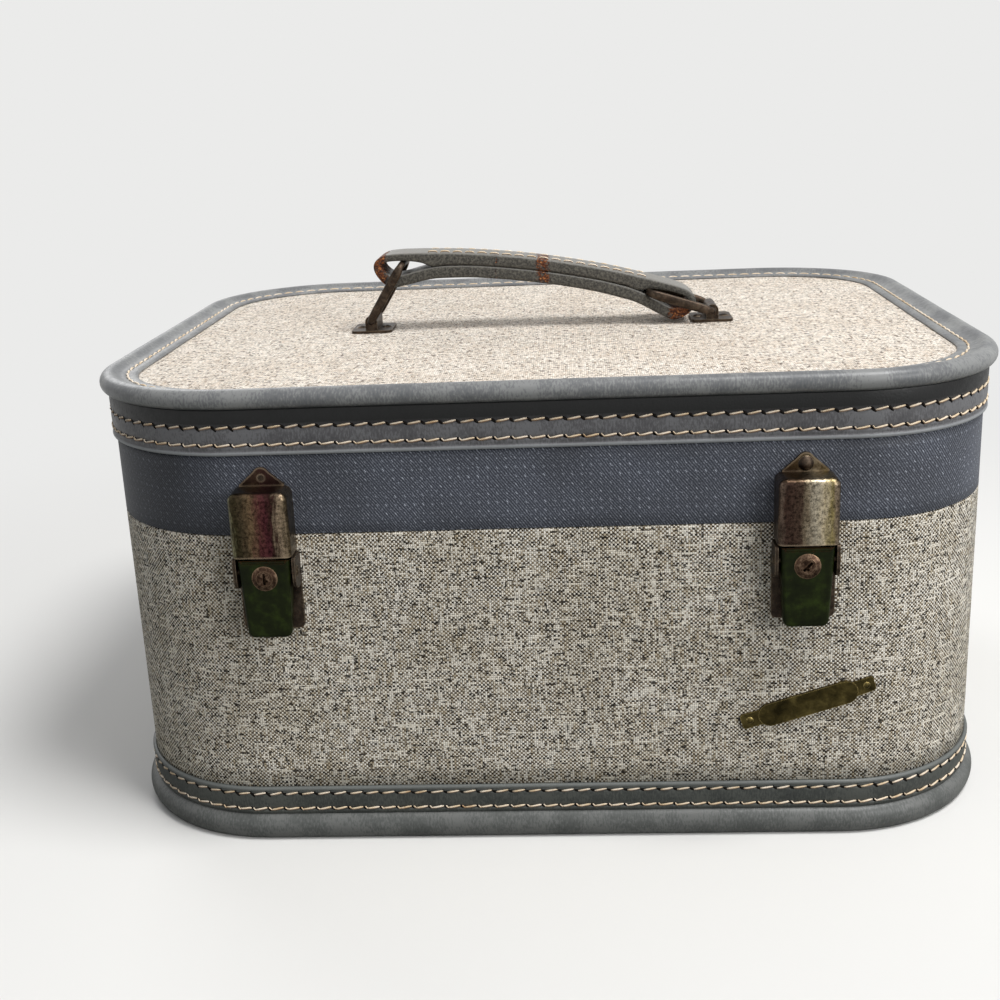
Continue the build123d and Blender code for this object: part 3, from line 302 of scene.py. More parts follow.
def grainedVinyl(name, look):
    # calendered vinyl on cloth: soft satin, fine cross grain from its backing, rubbed pale where it is proud
    material, add = newMaterial(name)
    flat = millimetres(add)
    acrossTrim = add("SeparateXYZ", [flat], out=1)
    stretched = add("VectorMath", [flat, (look["grain"], look["grain"] * 0.4, 0)], "MULTIPLY")
    grain = add("TexNoise", {"Vector": stretched, "Scale": 1.0, "Detail": 3.0, "Roughness": 0.6}, **inPlane)
    pebble = add("TexVoronoi", {"Vector": flat, "Scale": 1.15}, feature="F1", voronoi_dimensions="2D")
    mottle = add("TexNoise", {"Vector": flat, "Scale": 0.045, "Detail": 5.0, "Roughness": 0.65}, **inPlane)
    toneMix = add("Math", [grain, 0.8, mottle], "MULTIPLY_ADD")
    colour = add("ValToRGB", [toneMix], stops=look["tones"])
    rubbedNoise = add("TexNoise", {"Vector": flat, "Scale": 0.35, "Detail": 6.0, "Roughness": 0.72},
                      **inPlane)
    proud = add("Math", [acrossTrim, look["proudAt"]], "SUBTRACT")
    proudFar = add("Math", [proud], "ABSOLUTE")
    near = add("MapRange", [proudFar, 0.0, look["proudReach"], 0.085, 0.0])
    rubSum = add("Math", [rubbedNoise, near], "ADD")
    rub = add("MapRange", [rubSum, look["rubFrom"], look["rubFrom"] + 0.08, 0.0, look["rub"]])
    worn = add("Mix", {0: rub, 6: colour, 7: look["rubbed"]}, **blend)
    # each strip along the trim is painted darker or lighter in the colour, as painted shade and painted
    # highlight: (from, to, amount, colour)
    for start, end, amount, paintedStripColour in look["paintedShadeAndHighlightStrips"]:
        strip = add("MapRange", [acrossTrim, start, end, 0.0, amount])
        worn = add("Mix", {0: strip, 6: worn, 7: paintedStripColour}, **blend)
    relief = add("Math", [pebble, -0.55, grain], "MULTIPLY_ADD")
    bump = add("Bump", {"Height": relief, "Strength": look["relief"], "Distance": 0.00014})
    rough = add("MapRange", [rubbedNoise, 0.3, 0.7, look["rough"] - 0.07, look["rough"] + 0.1])
    return closeMaterial(material, add("BsdfPrincipled", {
        "Base Color": worn, "Roughness": rough, "Specular IOR Level": look["shine"], "Normal": bump}))


def twistedThread(name, look):
    # waxed cotton sewing thread: pale tan, dirtier in places, its 0.4 mm twist no more than a slight ribbing
    material, add = newMaterial(name)
    place = millimetres(add, "object")
    soilAndShade = add("TexNoise", {"Vector": place, "Scale": 0.12, "Detail": 3.0, "Roughness": 0.7})
    colour = add("ValToRGB", [soilAndShade], stops=look["tones"])
    twist = add("TexWave", {"Vector": place, "Scale": 0.9, "Distortion": 1.5}, out=1,
                bands_direction="DIAGONAL")
    ribbed = add("MapRange", [twist, 0.0, 1.0, 0.72, 1.05])
    shaded = add("Mix", {0: 1.0, 6: colour, 7: ribbed}, **multiply)
    # painted shade: the thread's downward-facing side is darkened in its colour
    facing = add("NewGeometry", out=1)
    faceUp = add("SeparateXYZ", [facing], out=2)
    under = add("MapRange", [faceUp, 0.30, -0.15, 0.0, 0.85])
    paintedShade = add("Mix", {0: under, 6: shaded, 7: look["under"]}, **blend)
    bump = add("Bump", {"Height": twist, "Strength": 0.4, "Distance": 0.0001})
    return closeMaterial(material, add("BsdfPrincipled", {
        "Base Color": paintedShade, "Roughness": 0.7, "Specular IOR Level": 0.3, "Sheen Weight": 0.15,
        "Normal": bump}))


def edgeShare(add, radius, flatFrom, edgeFrom, amount):
    # how much of an edge lies within the radius of each spot, from how far the softened normal turns
    softened = add("Bevel", {"Radius": radius}, samples=4)
    trueNormal = add("NewGeometry", out=1)
    aligned = add("VectorMath", [softened, trueNormal], "DOT_PRODUCT", out=1)
    return add("MapRange", [aligned, flatFrom, edgeFrom, 0.0, amount])


def wornMetal(name, look):
    # plated or coated steel: cloudy tarnish, small pits, lighter along edges as rubbed wear and painted
    # highlight
    material, add = newMaterial(name)
    place = millimetres(add, "object")
    cloud = add("TexNoise", {"Vector": place, "Scale": look["cloudScale"], "Detail": 6.0, "Roughness": 0.68,
                             "Distortion": 0.4})
    colour = add("ValToRGB", [cloud], stops=look["tones"])
    speck = add("TexNoise", {"Vector": place, "Scale": 1.6, "Detail": 4.0, "Roughness": 0.7})
    pit = add("MapRange", [speck, 0.60, 0.68, 0.0, look["pits"]])
    pitted = add("Mix", {0: pit, 6: colour, 7: look["pitColour"]}, **blend)
    edge = edgeShare(add, look["edge"] / 1000, 0.995, 0.90, 1.0)
    broken = add("MapRange", [speck, 0.36, 0.56, 1.0, 0.25])
    rubbedAndHighlitEdge = add("Math", [edge, broken], "MULTIPLY")
    edgeAmount = add("Math", [rubbedAndHighlitEdge, look["edgeWearAndHighlight"]], "MULTIPLY")
    bright = add("Mix", {0: edgeAmount, 6: pitted, 7: look["edgeColour"]}, **blend)
    metalness = add("MapRange", [pit, 0.0, 1.0, look["metallic"], look["metallic"] * 0.4])
    rough = add("MapRange", [cloud, 0.3, 0.7, look["roughLow"], look["roughHigh"]])
    bump = add("Bump", {"Height": speck, "Strength": 0.25, "Distance": 0.0001})
    return closeMaterial(material, add("BsdfPrincipled", {
        "Base Color": bright, "Metallic": metalness, "Roughness": rough, "Normal": bump}))


def rubbedHood(name, look):
    # plated hood worn through in upright streaks: tarnish, ruddy copper flash and rubbed bright metal,
    # with rust pits where the plate has gone
    material, add = newMaterial(name)
    place = millimetres(add, "object")
    placeX = add("SeparateXYZ", [place])
    long = add("VectorMath", [place, (0.8, 0.8, 0.12)], "MULTIPLY")
    streak = add("TexNoise", {"Vector": long, "Scale": 1.0, "Detail": 4.0, "Roughness": 0.65})
    fromLeft = add("MapRange", [placeX, look["centre"] - look["half"], look["centre"] + look["half"]])
    wander = add("Math", [streak, look["ragged"], fromLeft], "MULTIPLY_ADD")
    shifted = add("Math", [wander, look["ragged"] / 2], "SUBTRACT")
    colour = add("ValToRGB", [shifted], stops=look["across"])
    speck = add("TexNoise", {"Vector": place, "Scale": 0.7, "Detail": 6.0, "Roughness": 0.8})
    mottle = add("MapRange", [speck, 0.40, 0.60, 0.30, 1.45])
    mixed = add("Mix", {0: 1.0, 6: colour, 7: mottle}, **multiply)
    # the tab and the bend above the hood stayed dull
    dull = add("MapRange", [placeX.node.outputs[2], look["tabFrom"], look["tabFrom"] + 3.0, 0.0,
                            look["tabDull"]])
    mottled = add("Mix", {0: dull, 6: mixed, 7: look["tab"]}, **blend)
    pit = add("MapRange", [speck, 0.62, 0.67, 0.0, look["pits"]])
    pitted = add("Mix", {0: pit, 6: mottled, 7: "#20130b"}, **blend)
    # edges are lightened: rubbed wear and painted highlight
    edge = edgeShare(add, 0.0012, 0.995, 0.93, look["edge"])
    rubbed = add("Mix", {0: edge, 6: pitted, 7: "#b9a58c"}, **blend)
    metalness = add("MapRange", [pit, 0.0, 1.0, 1.0, 0.3])
    rough = add("MapRange", [streak, 0.3, 0.7, 0.26, 0.44])
    bump = add("Bump", {"Height": speck, "Strength": 0.35, "Distance": 0.0001})
    return closeMaterial(material, add("BsdfPrincipled", {
        "Base Color": rubbed, "Metallic": metalness, "Roughness": rough, "Normal": bump}))


def wornEnamel(name, look):
    # stoved enamel on steel, dark olive, chipped and rubbed to brown metal along its edges
    material, add = newMaterial(name)
    place = millimetres(add, "object")
    cloud = add("TexNoise", {"Vector": place, "Scale": 0.16, "Detail": 5.0, "Roughness": 0.6})
    colour = add("ValToRGB", [cloud], stops=look["tones"])
    chip = add("TexNoise", {"Vector": place, "Scale": 0.9, "Detail": 6.0, "Roughness": 0.75})
    loss = add("Math", [chip, edgeShare(add, 0.0011, 0.99, 0.86, 0.30)], "ADD")
    bare = add("MapRange", [loss, 0.66, 0.74, 0.0, 0.9])
    chipped = add("Mix", {0: bare, 6: colour, 7: look["bare"]}, **blend)
    rough = add("MapRange", [cloud, 0.3, 0.7, 0.28, 0.42])
    depth = add("Math", [bare, -1.0, 1.0], "MULTIPLY_ADD")
    bump = add("Bump", {"Height": depth, "Strength": 0.5, "Distance": 0.00008})
    return closeMaterial(material, add("BsdfPrincipled", {
        "Base Color": chipped, "Metallic": bare, "Roughness": rough, "Specular IOR Level": 0.1,
        "Normal": bump}))


def handleLeather(name, look):
    # split cowhide under a grey-green pigment finish: fine pebble, glossier on top from handling, its upward
    # faces painted lighter as painted light, worn through to orange-brown fibre where it bends round the
    # bails and at the crack in the middle
    material, add = newMaterial(name)
    place = millimetres(add, "object")
    placeX = add("SeparateXYZ", [place])
    pebble = add("TexVoronoi", {"Vector": place, "Scale": 1.15}, feature="F1")
    fine = add("TexNoise", {"Vector": place, "Scale": 0.9, "Detail": 5.0, "Roughness": 0.7})
    tone = add("Math", [pebble, 0.35, fine], "MULTIPLY_ADD")
    side = add("ValToRGB", [tone], stops=look["tones"])
    face = add("NewGeometry", out=1)
    faceUp = add("SeparateXYZ", [face], out=2)
    polishedAndPaintedLight = add("MapRange", [faceUp, 0.35, 0.85, 0.0, 0.8])
    base = add("Mix", {0: polishedAndPaintedLight, 6: side, 7: look["polishedAndPaintedLight"]}, **blend)
    ragged = add("TexNoise", {"Vector": place, "Scale": 0.55, "Detail": 6.0, "Roughness": 0.75})
    wearSum = None
    for centreX, halfWidth, amount, topZ in look["wornAt"]:
        away = add("Math", [placeX, centreX], "SUBTRACT")
        far = add("Math", [away], "ABSOLUTE")
        beside = add("MapRange", [far, halfWidth * 0.35, halfWidth, amount, 0.0])
        below = add("MapRange", [placeX.node.outputs[2], topZ - 2, topZ, 1.0, 0.0])
        near = add("Math", [beside, below], "MULTIPLY")
        wearSum = add("Math", [wearSum, near], "MAXIMUM") if wearSum else near
    loss = add("Math", [ragged, wearSum], "ADD")
    bare = add("MapRange", [loss, 0.80, 0.88, 0.0, 1.0])
    fibre = add("ValToRGB", [fine], stops=look["fibre"])
    colour = add("Mix", {0: bare, 6: base, 7: fibre}, **blend)
    relief = add("Math", [pebble, -0.6, fine], "MULTIPLY_ADD")
    sunk = add("Math", [bare, -1.4, relief], "MULTIPLY_ADD")
    bump = add("Bump", {"Height": sunk, "Strength": 0.6, "Distance": 0.0003})
    rough = add("MapRange", [polishedAndPaintedLight, 0.0, 0.8, 0.62, 0.42])
    roughWorn = add("Math", [bare, 0.3, rough], "MULTIPLY_ADD")
    return closeMaterial(material, add("BsdfPrincipled", {
        "Base Color": colour, "Roughness": roughWorn, "Specular IOR Level": 0.45, "Normal": bump}))


def birchPly(name, look):
    # bare birch plywood: pale yellow-brown, fine straight grain along the wall
    material, add = newMaterial(name)
    place = millimetres(add, "object")
    long = add("VectorMath", [place, (0.05, 0.05, 1.4)], "MULTIPLY")
    grain = add("TexNoise", {"Vector": long, "Scale": 1.0, "Detail": 5.0, "Roughness": 0.6})
    colour = add("ValToRGB", [grain], stops=look["tones"])
    bump = add("Bump", {"Height": grain, "Strength": 0.3, "Distance": 0.0001})
    return closeMaterial(material, add("BsdfPrincipled", {
        "Base Color": colour, "Roughness": 0.6, "Normal": bump}))


def satinLining(name, look):
    # rayon satin over thin wadding: soft sheen, fine weft lines, a little foxing
    material, add = newMaterial(name)
    place = millimetres(add, "object")
    weft = add("VectorMath", [place, (0.25, 0.25, 3.2)], "MULTIPLY")
    lines = add("TexNoise", {"Vector": weft, "Scale": 1.0, "Detail": 3.0, "Roughness": 0.6})
    watered = add("TexNoise", {"Vector": place, "Scale": 0.03, "Detail": 4.0, "Roughness": 0.55,
                               "Distortion": 1.2})
    tone = add("Math", [lines, 0.45, watered], "MULTIPLY_ADD")
    colour = add("ValToRGB", [tone], stops=look["tones"])
    bump = add("Bump", {"Height": lines, "Strength": 0.25, "Distance": 0.00012})
    return closeMaterial(material, add("BsdfPrincipled", {
        "Base Color": colour, "Roughness": 0.42, "Specular IOR Level": 0.5, "Sheen Weight": 0.25,
        "Sheen Roughness": 0.35, "Anisotropic": 0.4, "Normal": bump}))


def silveredGlass(name):
    # float glass silvered behind: clear reflection with a few age spots
    material, add = newMaterial(name)
    place = millimetres(add, "object")
    spot = add("TexNoise", {"Vector": place, "Scale": 0.09, "Detail": 6.0, "Roughness": 0.75})
    rough = add("MapRange", [spot, 0.62, 0.74, 0.02, 0.35])
    colour = add("ValToRGB", [spot], stops=[(0.62, "#e4e9e8"), (0.76, "#8e8a80")])
    return closeMaterial(material, add("BsdfPrincipled", {
        "Base Color": colour, "Metallic": 1.0, "Roughness": rough}))


def needleHoleShadowSheet(name):
    # painted shadow of a needle hole: an almost black-brown sheet where the slot lies in shade
    material, add = newMaterial(name)
    place = millimetres(add, "object")
    dust = add("TexNoise", {"Vector": place, "Scale": 0.8, "Detail": 2.0})
    colour = add("ValToRGB", [dust], stops=[(0.3, "#0d0b09"), (0.7, "#1d1915")])
    return closeMaterial(material, add("BsdfPrincipled", {
        "Base Color": colour, "Roughness": 0.9, "Specular IOR Level": 0.1}))


finish = {
    "wallTweed": tweedCloth("wallTweed", {
        "thread": 0.78, "runRate": 0.14, "slubLong": 0.34, "slubShort": 0.78, "slubFrom": 0.618,
        "slubDepth": 0.93, "slub": "#1a140c", "paleFrom": 0.40, "pale": 0.6, "paleYarn": "#fff8ea",
        "paintedGapShade": 0.08, "uneven": 0.78, "patchRate": 0.9, "patchLow": 0.80, "dust": 0.2, "dustDark": "#b3a98e",
        "warp": [(0.30, "#fffcf4"), (0.60, "#fff8e8"), (0.72, "#d8cbb2")],
        "weft": [(0.30, "#ddd1bc"), (0.42, "#918169"), (0.58, "#5b4b36"), (0.70, "#1c150c")]}),
    # painted light: a lighter, flatter copy of the wall tweed for the lid's top, which is the same cloth
    "topTweedPaintedLight": tweedCloth("topTweedPaintedLight", {
        "thread": 0.78, "runRate": 0.14, "slubLong": 0.36, "slubShort": 0.62, "slubFrom": 0.612,
        "slubDepth": 0.8, "slub": "#3c2d20", "paleFrom": 0.40, "pale": 0.6, "paleYarn": "#fff8ec",
        "paintedGapShade": 0.48, "uneven": 0.82, "patchRate": 0.9, "patchLow": 0.90, "dust": 0.15, "dustDark": "#d8c4ae",
        "warp": [(0.30, "#fffaf2"), (0.60, "#fff6ea"), (0.72, "#ead9c6")],
        "weft": [(0.30, "#f7ebdc"), (0.48, "#e4d4c0"), (0.66, "#95826c")]}),
    "bandCloth": figuredCloth("blueGreyBandCloth", {
        "slant": 52.0, "repeat": (3.4, 3.3), "rib": 0.89, "ribHigh": 0.40,
        "dashes": [(0.0, 0.0, 0.62, 0.85), (0.5, 0.5, 0.45, 0.6)], "paintedShade": (-215.0, -110.0, 0.42),
        "tones": [(0.20, "#212329"), (0.42, "#343740"), (0.75, "#595d67"), (1.15, "#adb2bd")]}),
    "rollVinyl": grainedVinyl("rolledEdgeVinyl", {
        "grain": 1.4, "rough": 0.38, "shine": 0.36, "relief": 0.22, "proudAt": 9.5, "proudReach": 6.0,
        # the strip is painted shade on the underside of the roll
        "rub": 0.3, "rubbed": "#a5a39e", "rubFrom": 0.73, "paintedShadeAndHighlightStrips": [(5.4, 2.6, 0.8, "#1a1c1c")],
        "tones": [(0.60, "#5c5e60"), (0.88, "#6a6b6c"), (1.18, "#7e7f7e")]}),
    "bandVinyl": grainedVinyl("bandVinyl", {
        "grain": 1.4, "rough": 0.46, "shine": 0.34, "relief": 0.38, "proudAt": 0.0, "proudReach": 1.0,
        "rub": 0.3, "rubbed": "#8b8a88", "rubFrom": 0.72,
        # the first strip is painted shadow under the overhanging roll, the second a painted highlight along
        # the bead
        "paintedShadeAndHighlightStrips": [(11.6, 14.4, 0.97, "#070808"), (3.4, 2.6, 0.7, "#949799")],
        "tones": [(0.55, "#424244"), (0.85, "#525153"), (1.15, "#646466")]}),
    # painted shade: a darker copy of the lid band's vinyl for the band low on the case; its strip is a
    # painted highlight along the bead
    "baseBandVinylPaintedShade": grainedVinyl("baseBandVinylPaintedShade", {
        "grain": 1.4, "rough": 0.5, "shine": 0.5, "relief": 0.38, "proudAt": 0.0, "proudReach": 1.0,
        "rub": 0.3, "rubbed": "#6f716e", "rubFrom": 0.72, "paintedShadeAndHighlightStrips": [(11.6, 12.6, 0.6, "#6d706e")],
        "tones": [(0.55, "#292b2a"), (0.85, "#373a37"), (1.15, "#464844")]}),
    # painted shade: a darker copy of the rolled edge's vinyl for the foot low on the case
    "footVinylPaintedShade": grainedVinyl("footEdgeVinylPaintedShade", {
        "grain": 1.4, "rough": 0.44, "shine": 0.42, "relief": 0.26, "proudAt": 9.5, "proudReach": 6.0,
        "rub": 0.35, "rubbed": "#8f8d88", "rubFrom": 0.72, "paintedShadeAndHighlightStrips": [],
        "tones": [(0.55, "#454745"), (0.85, "#545654"), (1.15, "#656664")]}),
    "thread": twistedThread("waxedCottonThread", {
        "under": "#6a4522", "tones": [(0.26, "#b79268"), (0.40, "#e1caa8"), (0.62, "#f6e7d2")]}),
    "needleHoleShadow": needleHoleShadowSheet("needleHoleShadow"),
    "tarnishedNickel": wornMetal("tarnishedNickelPlate", {
        "cloudScale": 0.14, "pits": 0.85, "pitColour": "#1d130d", "edge": 0.6, "edgeWearAndHighlight": 0.45,
        "edgeColour": "#b39a6c", "metallic": 1.0, "roughLow": 0.24, "roughHigh": 0.42,
        "tones": [(0.30, "#2c1f18"), (0.44, "#443227"), (0.54, "#5f4d3d"), (0.68, "#8d7c66")]}),
    "leftHood": rubbedHood("leftHoodPlate", {
        "centre": -101.3, "half": 10.8, "ragged": 0.34, "pits": 0.75, "edge": 0.5,
        "tab": "#33241f", "tabFrom": 142.5, "tabDull": 0.85,
        "across": [(0.02, "#6d6a50"), (0.08, "#2f2b1c"), (0.22, "#41382a"), (0.38, "#66543f"),
                   (0.52, "#52302f"), (0.64, "#47262a"), (0.76, "#33251f"), (0.86, "#8b7a66"),
                   (0.97, "#5e5240")]}),
    "rightHood": rubbedHood("rightHoodPlate", {
        "centre": 94.1, "half": 10.8, "ragged": 0.26, "pits": 0.9, "edge": 0.5,
        "tab": "#4a3b26", "tabFrom": 142.5, "tabDull": 0.75,
        # the pale stops at 0.73 and 0.84 hold a painted highlight as well as rubbed metal
        "across": [(0.02, "#63544a"), (0.12, "#3b2c26"), (0.36, "#46382f"), (0.45, "#766a58"),
                   (0.60, "#a39a88"), (0.73, "#b9ab90"), (0.84, "#857850"), (0.93, "#7b6d5c"),
                   (1.0, "#54473a")]}),
    "greenEnamel": wornEnamel("oliveEnamel", {
        "bare": "#4a2d1d", "tones": [(0.3, "#0f1305"), (0.5, "#181e09"), (0.68, "#293411")]}),
    "lockBrass": wornMetal("wornLockPlating", {
        "cloudScale": 0.5, "pits": 0.6, "pitColour": "#1b130e", "edge": 0.4, "edgeWearAndHighlight": 0.55,
        "edgeColour": "#a98c70", "metallic": 1.0, "roughLow": 0.25, "roughHigh": 0.45,
        "tones": [(0.35, "#2a1f18"), (0.5, "#4b392e"), (0.65, "#7f6a58")]}),
    "agedBrass": wornMetal("agedBrassPlate", {
        "cloudScale": 0.18, "pits": 0.5, "pitColour": "#29200f", "edge": 0.6, "edgeWearAndHighlight": 0.8,
        "edgeColour": "#c6b072", "metallic": 0.95, "roughLow": 0.3, "roughHigh": 0.55,
        "tones": [(0.32, "#2c2613"), (0.5, "#453c20"), (0.66, "#5f5430")]}),
    "bronzedSteel": wornMetal("bronzedSteel", {
        "cloudScale": 0.3, "pits": 0.7, "pitColour": "#6b3c20", "edge": 0.6, "edgeWearAndHighlight": 0.7,
        "edgeColour": "#a5937a", "metallic": 0.9, "roughLow": 0.32, "roughHigh": 0.6,
        "tones": [(0.32, "#241e1a"), (0.5, "#3a3129"), (0.68, "#574b3f")]}),
    "handleLeather": handleLeather("handleLeather", {
        "tones": [(0.44, "#1d1b18"), (0.62, "#34322d"), (0.82, "#57544c")], "polishedAndPaintedLight": "#7d7a74",
        "fibre": [(0.38, "#1a0b06"), (0.48, "#43200f"), (0.58, "#824a22"), (0.70, "#cf9c62")],
        "wornAt": [(-72.5, 7.5, 0.46, 300.0), (0.3, 5.4, 0.40, 300.0), (-20.3, 1.6, 0.27, 300.0),
                   (60.5, 9.0, 0.46, 187.0)]}),
    "plywood": birchPly("birchPlywood", {"tones": [(0.3, "#a88254"), (0.5, "#c29c6b"), (0.7, "#d3b284")]}),
    "lining": satinLining("liningSatin", {"tones": [(0.4, "#66727f"), (0.7, "#7f8c99"), (1.0, "#98a4af")]}),
    "pocketSatin": satinLining("pocketSatin", {
        "tones": [(0.4, "#5f6b79"), (0.7, "#7a8795"), (1.0, "#94a1ad")]}),
    "mirror": silveredGlass("silveredGlass"),
    "frameVinyl": wornMetal("mirrorFrameLacquer", {
        "cloudScale": 0.1, "pits": 0.2, "pitColour": "#38383a", "edge": 0.6, "edgeWearAndHighlight": 0.3,
        "edgeColour": "#9a9a98", "metallic": 0.0, "roughLow": 0.4, "roughHigh": 0.55,
        "tones": [(0.3, "#4d4e51"), (0.5, "#5a5b5e"), (0.7, "#66676a")]}),
}
print("materials made")

# what the CAD nodes that stay are finished in; a star stands for left and for right
nodeFinish = {
    "plywood": "base_shell lid_shell",
    "lining": "base_lining lid_lining locating_lip",
    "frameVinyl": "mirror_frame",
    "mirror": "mirror",
    "bandCloth": "bottom_panel",
    "agedBrass": "nameplate nameplate_pins",
    "greenEnamel": "*_rocker",
    "lockBrass": "*_lock_barrel *_key_plug",
    "leftHood": "left_hood",
    "rightHood": "right_hood",
    "tarnishedNickel": "*_hinge_base_leaf *_hinge_lid_leaf *_stay_arm *_stay_pivot *_stay_stud",
    "bronzedSteel": "*_latch_plate *_rocker_stubs *_plate_rivets *_catch *_keeper *_hood_rivet *_hinge_pin "
                    "hinge_base_rivets hinge_lid_rivets *_handle_mount handle_mount_rivets",
}
for finishName, nodeNames in nodeFinish.items():
    for nodeName in nodeNames.replace("*", "left").split() + nodeNames.replace("*", "right").split():
        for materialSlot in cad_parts[nodeName].material_slots:
            materialSlot.material = finish[finishName]
print("carried-over parts finished")

# the cloth face that everything on the outside is measured from
case = {"width": 340.0, "depth": 274.0, "corner": 59.0, "back": 3.25, "cornerSteps": 28, "straightStep": 9.0,
        "wobbleSize": 30.0}


def straightRun(start, end, outward):
    # even stations along a straight wall, without its end
    count = max(1, round((end - start).length / case["straightStep"]))
    return [(start.lerp(end, k / count), outward) for k in range(count)]


def wallStations():
    # stations round the cloth face, from the middle of the front to the right: (distance, place, outward)
    r, steps = case["corner"], case["cornerSteps"]
    acrossX, acrossY = case["width"] / 2 - r, case["depth"] / 2 - r
    front = Vector((0, -case["depth"] / 2))
    points, start = [], front
    for cx, cy, angle in ((acrossX, -acrossY, -90), (acrossX, acrossY, 0), (-acrossX, acrossY, 90),
                          (-acrossX, -acrossY, 180)):
        turns = [radians(angle) + pi / 2 * k / steps for k in range(steps + 1)]
        bend = [(Vector((cx + r * cos(b), cy + r * sin(b))), Vector((cos(b), sin(b)))) for b in turns]
        points += straightRun(start, *bend[0]) + bend[:-1]
        start = bend[-1][0]
    points += straightRun(start, front, Vector((0, -1)))
    stations, run, before = [], 0.0, front
    for place, outward in points:
        run += (place - before).length
        stations.append((run, place, outward))
        before = place
    return stations, run + (front - before).length


wall, wallRound = wallStations()
wallRuns = [run for run, _, _ in wall] + [wallRound]
# each stretch's start and end on the cloth map, in metres: negative on the left, so its seam lies behind
wallSpans = [tuple(run / 1000 - (wallRound / 1000 if ends[0] > wallRound / 2 else 0.0) for run in ends)
             for ends in zip(wallRuns, wallRuns[1:])]


def offWall(station, out, height):
    # a point so far out from the cloth face, in millimetres
    _, place, outward = station
    return Vector((place.x + outward.x * out, place.y + outward.y * out + case["back"], height))


def gridFaces(columns, rows, closedAlong=True, closedAcross=True):
    # the four corners of every cell in a grid of points that may close on itself
    faces = []
    for i in range(columns if closedAlong else columns - 1):
        n = (i + 1) % columns
        for j in range(rows if closedAcross else rows - 1):
            m = (j + 1) % rows
            faces.append((i * rows + j, n * rows + j, n * rows + m, i * rows + m))
    return faces


def gridMap(spansAlong, spansAcross):
    return [(u, v) for u0, u1 in spansAlong for v0, v1 in spansAcross
            for u, v in ((u0, v0), (u1, v0), (u1, v1), (u0, v1))]


def spansRound(points):
    # where each side of a closed line starts and ends along it, in metres for points in millimetres
    runs = [0.0]
    for a, b in zip(points, points[1:] + points[:1]):
        runs.append(runs[-1] + hypot(b[0] - a[0], b[1] - a[1]))
    return [(start / 1000, end / 1000) for start, end in zip(runs, runs[1:])]


def arc(centre, radii, start, end, steps):
    angles = [radians(start + (end - start) * k / steps) for k in range(steps + 1)]
    return [(centre[0] + radii[0] * cos(a), centre[1] + radii[1] * sin(a)) for a in angles]


def meshObject(name, vertices, faces, material, clothMap=None, turnOutward=True):
    mesh = bpy.data.meshes.new(name)
    mesh.from_pydata([tuple(v) for v in vertices], [], faces)
    if clothMap:
        layer = mesh.uv_layers.new(name="cloth")
        layer.data.foreach_set("uv", [c for pair in clothMap for c in pair])
    mesh.materials.append(material)
    if turnOutward:
        work = bmesh.new()
        work.from_mesh(mesh)
        bmesh.ops.recalc_face_normals(work, faces=work.faces)
        work.to_mesh(mesh)
        work.free()
    mesh.polygons.foreach_set("use_smooth", [True] * len(mesh.polygons))
    mesh.update()
    return newObject(name, mesh)


def sweptTrim(name, section, material, wobble=0.0):
    # section: (out, height) in millimetres from the cloth face, run upwards on the outside
    vertices = []
    for station in wall:
        for out, height in section:
            p = offWall(station, out, height)
            if wobble:
                n = noise.noise(p / case["wobbleSize"]) * wobble
                p += Vector((station[2].x * n, station[2].y * n, n * 0.6))
            vertices.append(p / 1000)
    return meshObject(name, vertices, gridFaces(len(wall), len(section)), material,
                      gridMap(wallSpans, spansRound(section)), turnOutward=False)


# the case's skins and trim, in millimetres: (out from the cloth face, height) or one of the two
trim = {
    "rollCentre": (0.35, 176.25), "rollRadius": 3.75, "topRow": -6.6, "topRowHigh": 177.5,
    "lidBand": (157.0, 172.7), "lidBead": (0.55, 156.3), "beadRadii": (0.95, 0.95), "lidRows": (159.3, 165.9),
    "baseBand": (10.2, 19.8), "baseBandLow": 9.9, "baseBead": (0.55, 20.7), "baseRows": (12.3, 18.9),
    "bandOut": 1.0, "puff": 0.28, "groove": 0.3, "grooveReach": 0.75, "bandSteps": 22, "under": -0.7,
    "bandCloth": (125.3, 155.8), "bandHem": [(-3.9, 125.5), (-3.9, 124.93), (-0.8, 124.93), (-0.25, 125.0)],
    "wallCloth": (21.0, 124.0), "wallHem": [(-0.06, 124.5), (-0.3, 124.7), (-0.8, 124.78), (-4.6, 124.78),
                                            (-4.9, 124.6), (-4.9, 123.9), (-4.7, 123.9)],
    "footOut": 4.0, "footHigh": 10.2, "footTuck": 1.95,
    "footStrip": [(-12.0, 1.95), (-12.0, 1.2), (-11.6, 0.92), (-2.4, 0.9)],
    "stripStart": [(-4.4, 178.05), (-5.2, 177.95)], "topGroove": [(0.5, 177.78), (0, 177.42), (-0.5, 177.76)],
    "stripEnd": [(-8.2, 177.92), (-9.6, 177.82), (-10.3, 177.55), (-10.66, 177.1), (-10.7, 176.62),
                 (-9.0, 176.62), (-8.6, 175.9), (-0.7, 175.9), (-0.7, 172.8)],
    "top": [(-9.2, 176.45), (-10.9, 176.5), (-14.0, 176.6), (-24.0, 176.58), (-40.0, 176.55),
            (-58.0, 176.52)],
}


